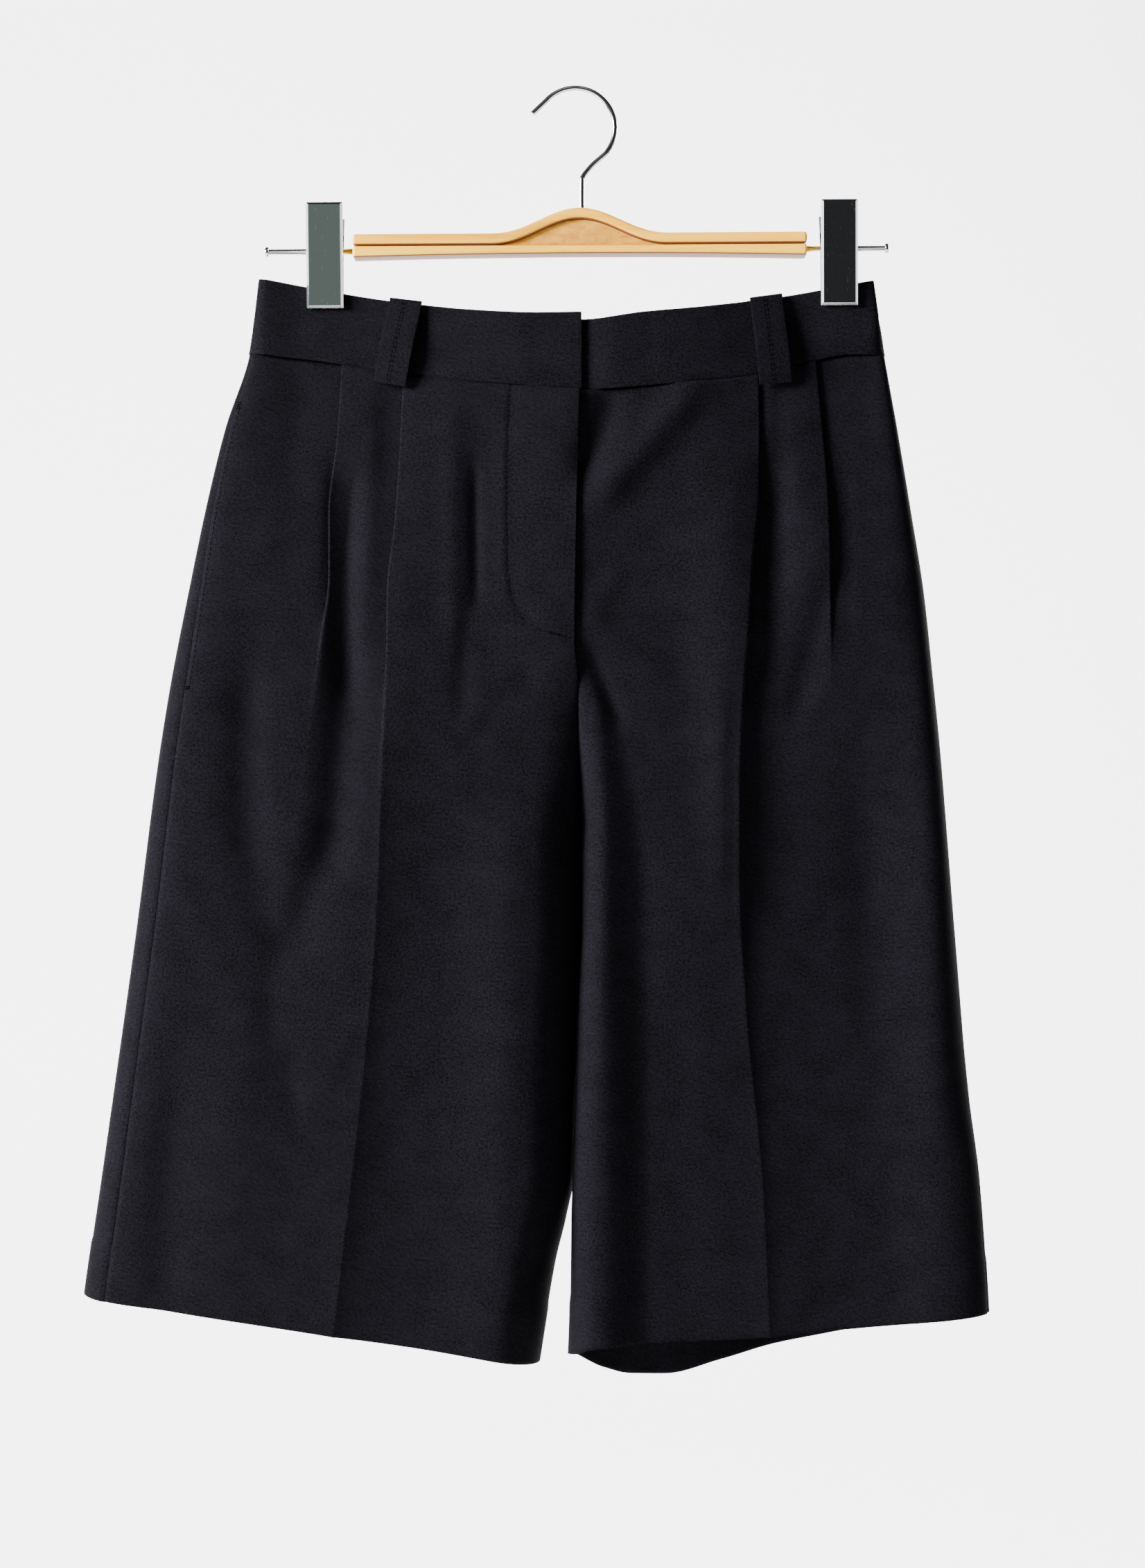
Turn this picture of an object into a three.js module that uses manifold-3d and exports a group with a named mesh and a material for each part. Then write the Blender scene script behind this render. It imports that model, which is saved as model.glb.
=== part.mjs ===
// Pleated bermuda shorts that hang by the waistband from a wooden clip hanger.
// Millimetres. X runs to the viewer's right, Y away from the viewer, Z up.
// The origin is the point inside the top of the hook where it rests on a rail.
import * as THREE from 'three';
import { mergeVertices } from 'three/addons/utils/BufferGeometryUtils.js';
import Module from 'manifold-3d';

const wasm = await Module();
wasm.setup();

// Cloth sizes
const clothWall = 1.2;
const bandWall = 2.4;
const loopWall = 1.5;
const loopWidth = 19;
const seamGap = 0.3;
const bandOut = 1.7;
const flyProud = 2.7;
const flyWidth = 34;
const ridgeFade = { inner: 34, outer: 15 };
const flyUnderlap = 12;
const bandUnderlap = 26;
const lapX = 3.7;
const clipMargin = 2;
const innerSpread = 70;
const outerSpread = 6;
const outerPress = 0.6;
const innerRound = 30;
const crotchZ = -433;
const flyEndZ = -326;
const middleX = 3;

// Silhouette from the front: the two side edges at each height
const outline = [
  { z: -112, left: -186.1, right: 175.5 },
  { z: -157, left: -192, right: 182 },
  { z: -200.5, left: -206, right: 189.4 },
  { z: -249.7, left: -217.7, right: 197.2 },
  { z: -299, left: -227.6, right: 204.6 },
  { z: -348, left: -237, right: 209.5 },
  { z: -397, left: -244.8, right: 214.4 },
  { z: -495.7, left: -257.9, right: 223 },
  { z: -594, left: -271.8, right: 232 },
  { z: -643.3, left: -278.8, right: 238.2 },
  { z: -722, left: -290, right: 243.5 },
  { z: -760, left: -294, right: 245 },
];

// Heights across the width: top of the waistband, waist seam, and the hems in front and behind
const waistTop = [
  { x: -187, z: -111.8 },
  { x: -100, z: -126.5 },
  { x: -48, z: -132.3 },
  { x: 4, z: -135 },
  { x: 55, z: -131.3 },
  { x: 113, z: -124 },
  { x: 176, z: -112.6 },
];
const waistSeam = [
  { x: -192, z: -156.6 },
  { x: -146, z: -162 },
  { x: -96.6, z: -170 },
  { x: -29.5, z: -176.8 },
  { x: 6, z: -179.2 },
  { x: 60, z: -175.2 },
  { x: 107.4, z: -170 },
  { x: 132, z: -163.4 },
  { x: 162.8, z: -157.2 },
  { x: 182, z: -157.4 },
];
const hemFrontLeft = [
  { x: -290, z: -709 },
  { x: -215, z: -719.7 },
  { x: -143, z: -730.4 },
  { x: -56, z: -743.8 },
  { x: -20, z: -751 },
];
const hemFrontRight = [
  { x: -5, z: -746 },
  { x: 11.5, z: -738.5 },
  { x: 110, z: -733.7 },
  { x: 175, z: -728 },
  { x: 243.5, z: -721 },
];
const hemBackLeft = [
  { x: -290, z: -709 },
  { x: -220, z: -721 },
  { x: -120, z: -737 },
  { x: -60, z: -747 },
  { x: -20, z: -751 },
];
const hemBackRight = [
  { x: -5, z: -746 },
  { x: 16, z: -760.5 },
  { x: 34, z: -764.7 },
  { x: 54, z: -764.7 },
  { x: 87, z: -756.7 },
  { x: 122, z: -747 },
  { x: 190, z: -733 },
  { x: 243.5, z: -721 },
];

// Half depth of the garment in front and behind, how far the clips press it flat,
// and the width over which the side edges round away
const depth = [
  { z: -112, front: 12, back: 12, press: 0.875, sideRound: 5 },
  { z: -131, front: 12, back: 12, press: 0.875, sideRound: 6 },
  { z: -158, front: 15, back: 15, press: 0.66, sideRound: 11 },
  { z: -200, front: 19, back: 20, press: 0.44, sideRound: 22 },
  { z: -260, front: 23.5, back: 26, press: 0.22, sideRound: 30 },
  { z: -320, front: 27, back: 30, press: 0.07, sideRound: 36 },
  { z: -400, front: 29, back: 33, press: 0, sideRound: 40 },
  { z: -500, front: 28, back: 31, press: 0, sideRound: 42 },
  { z: -620, front: 27, back: 28, press: 0, sideRound: 42 },
  { z: -760, front: 27, back: 27, press: 0, sideRound: 42 },
];

// Side seams: degrees round the side edge, from -90 in front over 0 at the edge to 90 behind
const sideSeam = [
  { z: -157, left: -26, right: 12 },
  { z: -230, left: -32, right: 10 },
  { z: -355, left: -44, right: 8 },
  { z: -523, left: -46, right: 4 },
  { z: -600, left: -47, right: -14 },
  { z: -760, left: -50, right: -16 },
];

// The line between the two halves in front: fly edge, front seam, then the touching legs.
// Below the crotch each leg's inner edge has its own place, leftY behind and rightY in front.
const centreLine = [
  { z: -157, x: 3.2 },
  { z: -178, x: 2.5 },
  { z: -248, x: 0.8 },
  { z: -326, x: -0.4 },
  { z: -349.7, x: 1.6 },
  { z: -376.4, x: 1.6 },
  { z: -412.5, x: 2.9 },
  { z: -483, x: 4.3 },
  { z: -541, x: 1.8 },
  { z: -584, x: 0.4 },
  { z: -652.7, x: -2 },
  { z: -717, x: -2.9 },
  { z: -760, x: -4.6 },
];
const innerEdge = [
  { z: -433, leftX: -0.75, leftY: 0, rightX: 0.75, rightY: 0 },
  { z: -455, leftX: -0.4, leftY: 8, rightX: 0.8, rightY: -8 },
  { z: -485, leftX: 1, leftY: 12, rightX: 0.6, rightY: -12 },
  { z: -640, leftX: 1, leftY: 12, rightX: 0.6, rightY: -12 },
  { z: -668, leftX: -3.5, leftY: 11, rightX: 0.4, rightY: -10 },
  { z: -692.5, leftX: -9.3, leftY: 8, rightX: 0.4, rightY: -8 },
  { z: -717, leftX: -13.3, leftY: 5, rightX: 0.4, rightY: -6 },
  { z: -760, leftX: -18.4, leftY: 0, rightX: 0.6, rightY: 0 },
];

// Pleats: place of the fold edge, how far the cloth doubles back under it, how high the edge
// stands over the layer beyond it, and how far the fold has opened into a plain ridge
const pleats = {
  leftInner: [
    { z: -157, x: -100.1, overlap: 15, drop: 3.4, open: 0 },
    { z: -215.7, x: -102.4, overlap: 12, drop: 4, open: 0 },
    { z: -261, x: -105.3, overlap: 9, drop: 5, open: 0 },
    { z: -296, x: -109, overlap: 6, drop: 5.6, open: 0 },
    { z: -330, x: -109.4, overlap: 4, drop: 6, open: 0.15 },
    { z: -370, x: -110.8, overlap: 3, drop: 6, open: 0.6 },
    { z: -420, x: -112.7, overlap: 3, drop: 5.5, open: 1 },
    { z: -484, x: -115, overlap: 2, drop: 5, open: 1 },
    { z: -574, x: -122.5, overlap: 2, drop: 4.5, open: 1 },
    { z: -664, x: -132.6, overlap: 2, drop: 4.5, open: 1 },
    { z: -760, x: -144.1, overlap: 2, drop: 5, open: 1 },
  ],
  rightInner: [
    { z: -157, x: 107, overlap: 15, drop: 3.4, open: 0 },
    { z: -200, x: 107.7, overlap: 13, drop: 4.4, open: 0 },
    { z: -240, x: 107, overlap: 10, drop: 6, open: 0 },
    { z: -285, x: 102.8, overlap: 7, drop: 8, open: 0 },
    { z: -321, x: 100.8, overlap: 5, drop: 8.6, open: 0.1 },
    { z: -356, x: 98, overlap: 4, drop: 8.2, open: 0.45 },
    { z: -409, x: 95.6, overlap: 3, drop: 7, open: 1 },
    { z: -462, x: 95.6, overlap: 2, drop: 6.2, open: 1 },
    { z: -541, x: 99.6, overlap: 2, drop: 5.5, open: 1 },
    { z: -646.6, x: 109.6, overlap: 2, drop: 5, open: 1 },
    { z: -760, x: 114.6, overlap: 2, drop: 5, open: 1 },
  ],
  leftOuter: [
    { z: -157, x: -136.5, overlap: 13, drop: 3.4, open: 0 },
    { z: -207.5, x: -139.3, overlap: 10, drop: 4.6, open: 0 },
    { z: -250, x: -143.8, overlap: 7, drop: 6, open: 0 },
    { z: -288.6, x: -142.5, overlap: 4, drop: 6, open: 0.1 },
    { z: -328.8, x: -147.9, overlap: 3, drop: 4.6, open: 0.6 },
    { z: -380, x: -153.9, overlap: 2, drop: 3, open: 1 },
    { z: -471, x: -166.6, overlap: 2, drop: 1.5, open: 1 },
    { z: -600, x: -186.2, overlap: 2, drop: 0.6, open: 1 },
    { z: -760, x: -204.9, overlap: 2, drop: 0.4, open: 1 },
  ],
  rightOuter: [
    { z: -157, x: 141.1, overlap: 13, drop: 3.4, open: 0 },
    { z: -199.3, x: 144.6, overlap: 10, drop: 4.6, open: 0 },
    { z: -240, x: 147.5, overlap: 7, drop: 5.4, open: 0 },
    { z: -280.4, x: 148.7, overlap: 4, drop: 5, open: 0.1 },
    { z: -319.4, x: 148.7, overlap: 3, drop: 4, open: 0.6 },
    { z: -380, x: 150.4, overlap: 2, drop: 2.4, open: 1 },
    { z: -500, x: 154.8, overlap: 2, drop: 0.8, open: 1 },
    { z: -760, x: 168.5, overlap: 2, drop: 0.4, open: 1 },
  ],
};

// Soft folds: from one end to the other, with their half width and how far they stand out.
// Negative heights are troughs.
const frontFolds = [
  { x0: -60, z0: -225, x1: -60, z1: -310, width: 13, height: -4 },
  { x0: -24, z0: -345, x1: -62, z1: -390, width: 9, height: -3 },
  { x0: -204, z0: -370, x1: -206, z1: -450, width: 14, height: -3.5 },
  { x0: -232, z0: -570, x1: -240, z1: -725, width: 13, height: -4 },
  { x0: -178, z0: -500, x1: -186, z1: -700, width: 20, height: 3 },
  { x0: -62, z0: -460, x1: -66, z1: -745, width: 24, height: 4 },
  { x0: 70, z0: -176, x1: 8, z1: -250, width: 11, height: 4 },
  { x0: 26, z0: -285, x1: 8, z1: -318, width: 8, height: 2.5 },
  { x0: 5, z0: -333, x1: 26, z1: -374, width: 8, height: -2.5 },
  { x0: 31, z0: -430, x1: 32, z1: -750, width: 15, height: -8 },
  { x0: 68, z0: -480, x1: 74, z1: -745, width: 18, height: 3 },
  { x0: 176, z0: -420, x1: 190, z1: -730, width: 22, height: -4 },
  { x0: 205, z0: -330, x1: 214, z1: -600, width: 14, height: 2.5 },
];
const backFolds = [
  { x0: -30, z0: -330, x1: -90, z1: -430, width: 16, height: -5 },
  { x0: 36, z0: -325, x1: 94, z1: -425, width: 16, height: -5 },
  { x0: -120, z0: -420, x1: -132, z1: -735, width: 22, height: 5 },
  { x0: 108, z0: -420, x1: 114, z1: -745, width: 22, height: 5 },
  { x0: -60, z0: -450, x1: -68, z1: -740, width: 20, height: -6 },
  { x0: 50, z0: -450, x1: 56, z1: -752, width: 20, height: -6 },
  { x0: -190, z0: -360, x1: -212, z1: -690, width: 20, height: -5 },
  { x0: 168, z0: -350, x1: 182, z1: -700, width: 20, height: -5 },
  { x0: -100, z0: -190, x1: -92, z1: -300, width: 18, height: 4 },
  { x0: 100, z0: -190, x1: 96, z1: -300, width: 18, height: 4 },
];

// Belt loops: where the top and the lower end lie, on the front or the back
const beltLoops = [
  { name: 'belt_loop_front_left', face: 'front', topX: -99.8, lowX: -108.8 },
  { name: 'belt_loop_front_right', face: 'front', topX: 112.5, lowX: 117.4 },
  { name: 'belt_loop_back_left', face: 'back', topX: -94, lowX: -98 },
  { name: 'belt_loop_back_centre', face: 'back', topX: middleX, lowX: middleX },
  { name: 'belt_loop_back_right', face: 'back', topX: 100, lowX: 104 },
];
const loopBelowSeam = 7.5;

// Hanger sizes, drawn level and then tilted
const hangerTilt = -0.34;
const wireDiameter = 3.1;
const hookRadius = 23.5;
const hookArc = { from: 138, to: -42, step: 9 };
const hookFreeEnd = { x: -25.3, z: -13.6 };
const shankX = 3.9;
const kinkZ = -50.5;
const shankDepth = 4.6;
const woodHalfLength = 134;
const woodMidX = 2.7;
const woodDepth = 15;
const woodTopZ = -85.4;
const humpHeight = 14.9;
const humpHalfWidth = 53;
const grooveDrop = 6.4;
const lowerTopZ = -92.4;
const woodBottomZ = -99;
const bottomArch = 1.6;
const insertHalfLength = 49;
const insertDepth = 9;
const edgeRound = 1.6;
const rodZ = -94.4;
const rodDiameter = 3.3;
const rodEnds = { left: -183.5, right: 185.3 };
const headDiameter = 5.9;
const headLength = 2.2;
const boreDepth = 14;
const clipWidth = 21.6;
const clipHeight = 62;
const clipTopZ = -66.6;
const clipPlate = 3.4;
const clipBevel = 1.4;
const clipCentres = { left: -147.7, right: 155.6 };
const backPlateHeight = 52;
const backPlateLift = 4;
const backPlateFlare = 7;
const backPlate = 1.8;
const barrelDiameter = 8.4;
const barrelLength = 15;
const jawGap = 3;

const materials = {
  cloth: new THREE.MeshStandardMaterial({ color: 0x1f2029, roughness: 0.85, metalness: 0 }),
  wood: new THREE.MeshStandardMaterial({ color: 0xe3b878, roughness: 0.45, metalness: 0 }),
  insert: new THREE.MeshStandardMaterial({ color: 0xcf9f62, roughness: 0.5, metalness: 0 }),
  chrome: new THREE.MeshStandardMaterial({ color: 0xc9cccf, roughness: 0.15, metalness: 1 }),
};

const mix = (a, b, t) => a + (b - a) * t;
const clamp01 = (t) => Math.min(1, Math.max(0, t));
const soft = (t) => clamp01(t) ** 2 * (3 - 2 * clamp01(t));
const towards = (side) => (side === 'left' ? -1 : 1);
const outwards = (face) => (face === 'front' ? -1 : 1);

// Smooth value of one named column of a table, between its rows
function read(table, key, at, column) {
  const rows = table[1][key] > table[0][key] ? table : [...table].reverse();
  const last = rows.length - 1;
  let i = rows.findIndex((row) => row[key] > at) - 1;
  if (at >= rows[last][key]) i = last - 1;
  i = Math.max(0, i);
  const slope = (k) => (rows[k + 1][column] - rows[k][column]) / (rows[k + 1][key] - rows[k][key]);
  const tangent = (k) => {
    const before = slope(Math.max(0, k - 1));
    const after = slope(Math.min(last - 1, k));
    return before * after <= 0 ? 0 : (2 * before * after) / (before + after);
  };
  const span = rows[i + 1][key] - rows[i][key];
  const t = clamp01((at - rows[i][key]) / span);
  const stay = 2 * t ** 3 - 3 * t ** 2 + 1;
  return stay * rows[i][column] + (1 - stay) * rows[i + 1][column]
    + (t ** 3 - 2 * t ** 2 + t) * span * tangent(i) + (t ** 3 - t ** 2) * span * tangent(i + 1);
}

const outlineX = (side, z) => read(outline, 'z', z, side);
const sideWidth = (z) => read(depth, 'z', z, 'sideRound');

// How far the clips press the cloth flat at this place, from 0 to 1. The cloth opens slowly
// towards the middle and quickly, but not fully, towards its side edge.
function pressed(x) {
  return Object.values(clipCentres).reduce((most, clipX) => {
    const inwards = Math.sign(middleX - clipX) * (x - clipX) > 0;
    const away = Math.max(0, Math.abs(x - clipX) - clipWidth / 2 - clipMargin);
    const beside = outerPress + (1 - outerPress) * Math.exp(-((away / outerSpread) ** 2));
    return Math.max(most, inwards ? Math.exp(-((away / innerSpread) ** 2)) : beside);
  }, 0);
}

// Half depth of the plain garment at one place, before the edges round away
function halfDepth(face, x, z) {
  return read(depth, 'z', z, face) * (1 - read(depth, 'z', z, 'press') * pressed(x));
}

// Height of the soft folds at one place
function foldHeight(folds, x, z) {
  return folds.reduce((sum, fold) => {
    const length = Math.hypot(fold.x1 - fold.x0, fold.z1 - fold.z0);
    const ux = (fold.x1 - fold.x0) / length;
    const uz = (fold.z1 - fold.z0) / length;
    const along = (x - fold.x0) * ux + (z - fold.z0) * uz;
    const across = (x - fold.x0) * uz - (z - fold.z0) * ux;
    const reach = Math.min(length * 0.4, 60);
    const ends = soft(along / reach + 0.5) * soft((length - along) / reach + 0.5);
    return sum + fold.height * ends * Math.exp(-((across / fold.width) ** 2));
  }, 0);
}

// How far the front or back seam has turned in towards the crotch, from 0 to 1
function turnIn(face, z) {
  const start = flyEndZ + (face === 'front' ? -6 : 10);
  return clamp01((z - start) / (crotchZ - start)) ** 1.6;
}

// Quarter round over a width, from 0 at the edge to 1
const roundOff = (run, width) => Math.sqrt(1 - (1 - clamp01(run / width)) ** 2);

// Inner edge of a panel: fly edge or centre seam above the crotch, inner leg seam below it
function innerSeam(side, face, z) {
  const line = read(centreLine, 'z', z, 'x');
  if (z < crotchZ) {
    return {
      x: line + read(innerEdge, 'z', z, `${side}X`),
      y: read(innerEdge, 'z', z, `${side}Y`) + outwards(face) * seamGap,
    };
  }
  const turned = turnIn(face, z);
  const clear = seamGap / 2 + Math.min(1, 6 * turned) * clothWall / 2;
  const y = outwards(face) * seamGap * turned;
  if (face === 'back') return { x: mix(middleX, line, turned) + towards(side) * clear, y };
  if (side === 'left') return { x: line - (z > flyEndZ ? 0 : clear), y };
  return { x: line - flyUnderlap * soft((z - flyEndZ - 1) / 16) + clear, y };
}

// Depth of a panel's middle surface, without pleats, at one place across it
function surfaceY(side, face, x, z) {
  const away = outwards(face);
  const seam = innerSeam(side, face, z);
  const turned = turnIn(face, z);
  const inner = 1 - turned + turned * roundOff((x - seam.x) * towards(side), innerRound);
  const outer = roundOff((outlineX(side, z) - x) * towards(side), sideWidth(z));
  const folds = foldHeight(face === 'front' ? frontFolds : backFolds, x, z) * inner * outer;
  const from = seam.y * turned;
  return from * outer + away * ((halfDepth(face, x, z) - away * from) * inner * outer + folds);
}

function signedVolume(position, index) {
  const corner = (k) => new THREE.Vector3().fromArray(position, 3 * index[k]);
  let sum = 0;
  for (let k = 0; k < index.length; k += 3) sum += corner(k).dot(corner(k + 1).cross(corner(k + 2)));
  return sum;
}

// Closed wall from a grid of middle points. lean gives the direction square to the wall, from the
// points before and after in the same row or column.
function closedWall(grid, wall, lean) {
  const rows = grid.length;
  const columns = grid[0].length;
  const position = [];
  for (const sign of [1, -1]) {
    for (let j = 0; j < rows; j += 1) {
      for (let i = 0; i < columns; i += 1) {
        const p = grid[j][i].clone().addScaledVector(lean(i, j), sign * wall / 2);
        position.push(p.x, p.y, p.z);
      }
    }
  }
  const index = [];
  const far = columns * rows;
  const quad = (a, b, c, d) => index.push(a, b, c, a, c, d);
  for (let j = 0; j < rows - 1; j += 1) {
    const start = j * columns;
    const end = start + columns - 1;
    for (let a = start; a < end; a += 1) {
      quad(a, a + 1, a + 1 + columns, a + columns);
      quad(far + a, far + a + columns, far + a + 1 + columns, far + a + 1);
    }
    quad(start, start + columns, far + start + columns, far + start);
    quad(end + columns, end, far + end, far + end + columns);
  }
  for (let i = 0; i < columns - 1; i += 1) {
    const low = (rows - 1) * columns + i;
    quad(i + 1, i, far + i, far + i + 1);
    quad(low, low + 1, far + low + 1, far + low);
  }
  if (signedVolume(position, index) < 0) index.reverse();
  const geometry = new THREE.BufferGeometry();
  geometry.setAttribute('position', new THREE.Float32BufferAttribute(position, 3));
  geometry.setIndex(index);
  geometry.computeVertexNormals();
  return geometry;
}

function makeGrid(columns, rows, point) {
  const grid = [];
  for (let j = 0; j < rows; j += 1) {
    grid.push([]);
    for (let i = 0; i < columns; i += 1) grid[j].push(point(i, j));
  }
  return grid;
}

// Direction square to a run of points at one of them, turned in the plane of the axes u and v
function squareTo(before, here, after, u, v) {
  const first = new THREE.Vector2(here[u] - before[u], here[v] - before[v]).normalize();
  const second = new THREE.Vector2(after[u] - here[u], after[v] - here[v]).normalize();
  const way = first.add(second).normalize();
  const square = new THREE.Vector3();
  square[u] = way.y;
  square[v] = -way.x;
  return square;
}

// Wall whose rows are each offset square to their own run, so that its seams stay level
function levelWall(columns, rows, wall, point) {
  const grid = makeGrid(columns, rows, point);
  return closedWall(grid, wall, (i, j) => squareTo(
    grid[j][Math.max(0, i - 1)],
    grid[j][i],
    grid[j][Math.min(columns - 1, i + 1)],
    'x',
    'y',
  ));
}

// Cross section of a pleat: ten steps over the fold edge, back under it, and out again as the
// lower layer. Each gives a shift along the panel and a rise over the lower layer.
const openPleat = [
  { shift: -4, rise: 0.86 },
  { shift: -1.8, rise: 0.97 },
  { shift: -0.4, rise: 1 },
  { shift: 0.6, rise: 0.8 },
  { shift: 1.6, rise: 0.56 },
  { shift: 2.8, rise: 0.36 },
  { shift: 4.4, rise: 0.2 },
  { shift: 6.6, rise: 0.09 },
  { shift: 9.6, rise: 0.03 },
  { shift: 14, rise: 0 },
];

function pleatPoint(step, row) {
  const layer = row.drop / 2;
  const turn = layer / 2;
  const back = Math.max(row.overlap, 2 * turn);
  const half = openPleat.length / 2;
  const angle = ((step % half) / (half - 1)) * Math.PI;
  const over = step < half;
  const folded = {
    shift: over ? turn * Math.sin(angle) - turn : turn - back - turn * Math.sin(angle),
    rise: (over ? 1.5 : 0.5) * layer + turn * Math.cos(angle),
  };
  return {
    shift: mix(folded.shift, openPleat[step].shift, row.open),
    rise: mix(folded.rise, openPleat[step].rise * row.drop, row.open),
  };
}

function pleatRow(table, z) {
  const row = {};
  for (const column of ['x', 'overlap', 'drop', 'open']) row[column] = read(table, 'z', z, column);
  return row;
}

// Height of the layer that ends in a fold edge, which fades away from the edge
function ridgeRise(side, table, x, z, fade) {
  const row = pleatRow(table, z);
  const away = (row.x - x) * towards(side);
  const start = mix(row.overlap + 2, 2, row.open);
  return away < 0 ? 0 : row.drop * Math.exp(-((Math.max(0, away - start) / fade) ** 2));
}

// Rows run from the waist seam to the hem, closer together where the pleats open
const panelRows = [0, 0.05, 0.1, 0.15, 0.2, 0.25, 0.295, 0.335, 0.375, 0.42, 0.47, 0.53, 0.6,
  0.68, 0.76, 0.84, 0.92, 1];
const roundShares = [0, 0.04, 0.15, 0.36, 0.66, 1];
const hems = {
  front: { left: hemFrontLeft, right: hemFrontRight },
  back: { left: hemBackLeft, right: hemBackRight },
};

// Height of a column's point in one row. The column's place across gives the heights of its two
// ends, on the waist seam and on the hem, and each of them gives the place again.
function rowHeight(side, face, share, place) {
  let top = waistSeam[0].z;
  let hem = hems[face][side][0].z;
  for (let turn = 0; turn < 4; turn += 1) {
    top = read(waistSeam, 'x', place(top), 'z') - seamGap / 2;
    hem = read(hems[face][side], 'x', place(hem), 'z');
  }
  return mix(top, hem, share);
}

const seamAngle = (side, z) => THREE.MathUtils.degToRad(read(sideSeam, 'z', z, side));

// Angle that half the seam's gap takes up at the side seam
function seamTrim(side, z) {
  const angle = seamAngle(side, z);
  const width = sideWidth(z) * Math.sin(angle);
  const deep = halfDepth('front', outlineX(side, z), z) * Math.cos(angle);
  return 0.75 * seamGap / Math.hypot(width, deep);
}

// Place across on the rounded side edge, at an angle from -90 degrees (front) to 90 (back)
function edgeX(side, angle, z) {
  return outlineX(side, z) - towards(side) * sideWidth(z) * (1 - Math.cos(angle));
}

// Point of the rounded side edge in one row, at an angle that may change with the height
function edgePoint(side, face, share, angle) {
  const z = rowHeight(side, face, share, (h) => edgeX(side, angle(h), h));
  const x = edgeX(side, angle(z), z);
  return new THREE.Vector3(x, surfaceY(side, angle(z) < 0 ? 'front' : 'back', x, z), z);
}

// A front panel: centre columns, inner pleat, middle, outer pleat, flat side, rounded side
function frontPanel(side) {
  const s = towards(side);
  const innerPleat = pleats[`${side}Inner`];
  const outerPleat = pleats[`${side}Outer`];
  const edge = (z) => innerSeam(side, 'front', z).x;
  const turnEnd = (z) => edge(z) + s * innerRound;
  const before = (table, folded, open) => (z) => {
    const row = pleatRow(table, z);
    return row.x - s * mix(row.overlap + folded, open, row.open);
  };
  const after = (table, folded, open) => (z) => {
    const row = pleatRow(table, z);
    return row.x + s * mix(folded, open, row.open);
  };
  const roundStart = (z) => outlineX(side, z) - s * sideWidth(z);
  const innerRise = (x, z) => ridgeRise(side, innerPleat, x, z, ridgeFade.inner);
  const outerRise = (x, z) => ridgeRise(side, outerPleat, x, z, ridgeFade.outer);
  const flat = () => 0;
  const columns = [];
  const plain = (from, to, shares, rise) => shares.forEach((share) => columns.push((z) => {
    const x = mix(from(z), to(z), share);
    return { x, rise: rise(x, z) };
  }));
  const fold = (table, under) => openPleat.forEach((_, step) => columns.push((z) => {
    const row = pleatRow(table, z);
    const p = pleatPoint(step, row);
    const x = row.x + s * p.shift;
    return { x, rise: p.rise + under(x, z) };
  }));
  plain(edge, turnEnd, roundShares, innerRise);
  plain(turnEnd, before(innerPleat, 5, 9), [0.33, 0.66, 1], innerRise);
  fold(innerPleat, outerRise);
  plain(after(innerPleat, 3, 19), before(outerPleat, 3, 7), [0, 0.5, 1], outerRise);
  fold(outerPleat, flat);
  plain(after(outerPleat, 3, 18), roundStart, [0, 0.5], flat);
  const sideColumns = 6;
  return levelWall(columns.length + sideColumns, panelRows.length, clothWall, (i, j) => {
    if (i >= columns.length) {
      const part = (i - columns.length) / (sideColumns - 1);
      const angle = (z) => mix(-Math.PI / 2, seamAngle(side, z) - seamTrim(side, z), part);
      return edgePoint(side, 'front', panelRows[j], angle);
    }
    const z = rowHeight(side, 'front', panelRows[j], (h) => columns[i](h).x);
    const { x, rise } = columns[i](z);
    const fade = side === 'left' ? soft((z - flyEndZ + 40) / 30) : 0;
    const proud = flyProud * fade * Math.exp(-(((x - edge(z)) / flyWidth) ** 2));
    return new THREE.Vector3(x, surfaceY(side, 'front', x, z) - rise - proud, z);
  });
}

// A back panel: centre or inseam columns, flat back, rounded side up to the side seam
function backPanel(side) {
  const s = towards(side);
  const flatShares = [0.14, 0.28, 0.43, 0.57, 0.71, 0.86];
  const sideColumns = 8;
  const plainColumns = roundShares.length + flatShares.length;
  const edge = (z) => innerSeam(side, 'back', z).x;
  const turnEnd = (z) => edge(z) + s * innerRound;
  const roundStart = (z) => outlineX(side, z) - s * sideWidth(z);
  return levelWall(plainColumns + sideColumns, panelRows.length, clothWall, (i, j) => {
    if (i >= plainColumns) {
      const part = (i - plainColumns) / (sideColumns - 1);
      const angle = (z) => mix(Math.PI / 2, seamAngle(side, z) + seamTrim(side, z), part);
      return edgePoint(side, 'back', panelRows[j], angle);
    }
    const place = (z) => (i < roundShares.length
      ? mix(edge(z), turnEnd(z), roundShares[i])
      : mix(turnEnd(z), roundStart(z), flatShares[i - roundShares.length]));
    const z = rowHeight(side, 'back', panelRows[j], place);
    return new THREE.Vector3(place(z), surfaceY(side, 'back', place(z), z), z);
  });
}

// Waistband rows, as shares of its width from the top edge to the waist seam. The second row
// lies just below the clips' jaws, so that the cloth is flat between them.
const bandRows = [0, 0.3, 0.62, 1];
const bandStep = 16;
const jawZ = -131;

const bandHeight = (x, share) => mix(
  read(waistTop, 'x', x, 'z'),
  read(waistSeam, 'x', x, 'z') + seamGap / 2,
  share,
);

// How far the waistband stands out to lie over the pleats' middle layer
const bandLift = (z) => bandOut * soft((jawZ - z) / 20);

function bandY(face, x, z) {
  const side = x < middleX ? 'left' : 'right';
  const round = roundOff(Math.abs(outlineX(side, z) - x), sideWidth(z));
  return outwards(face) * (halfDepth(face, x, z) + bandLift(z)) * round;
}

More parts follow.
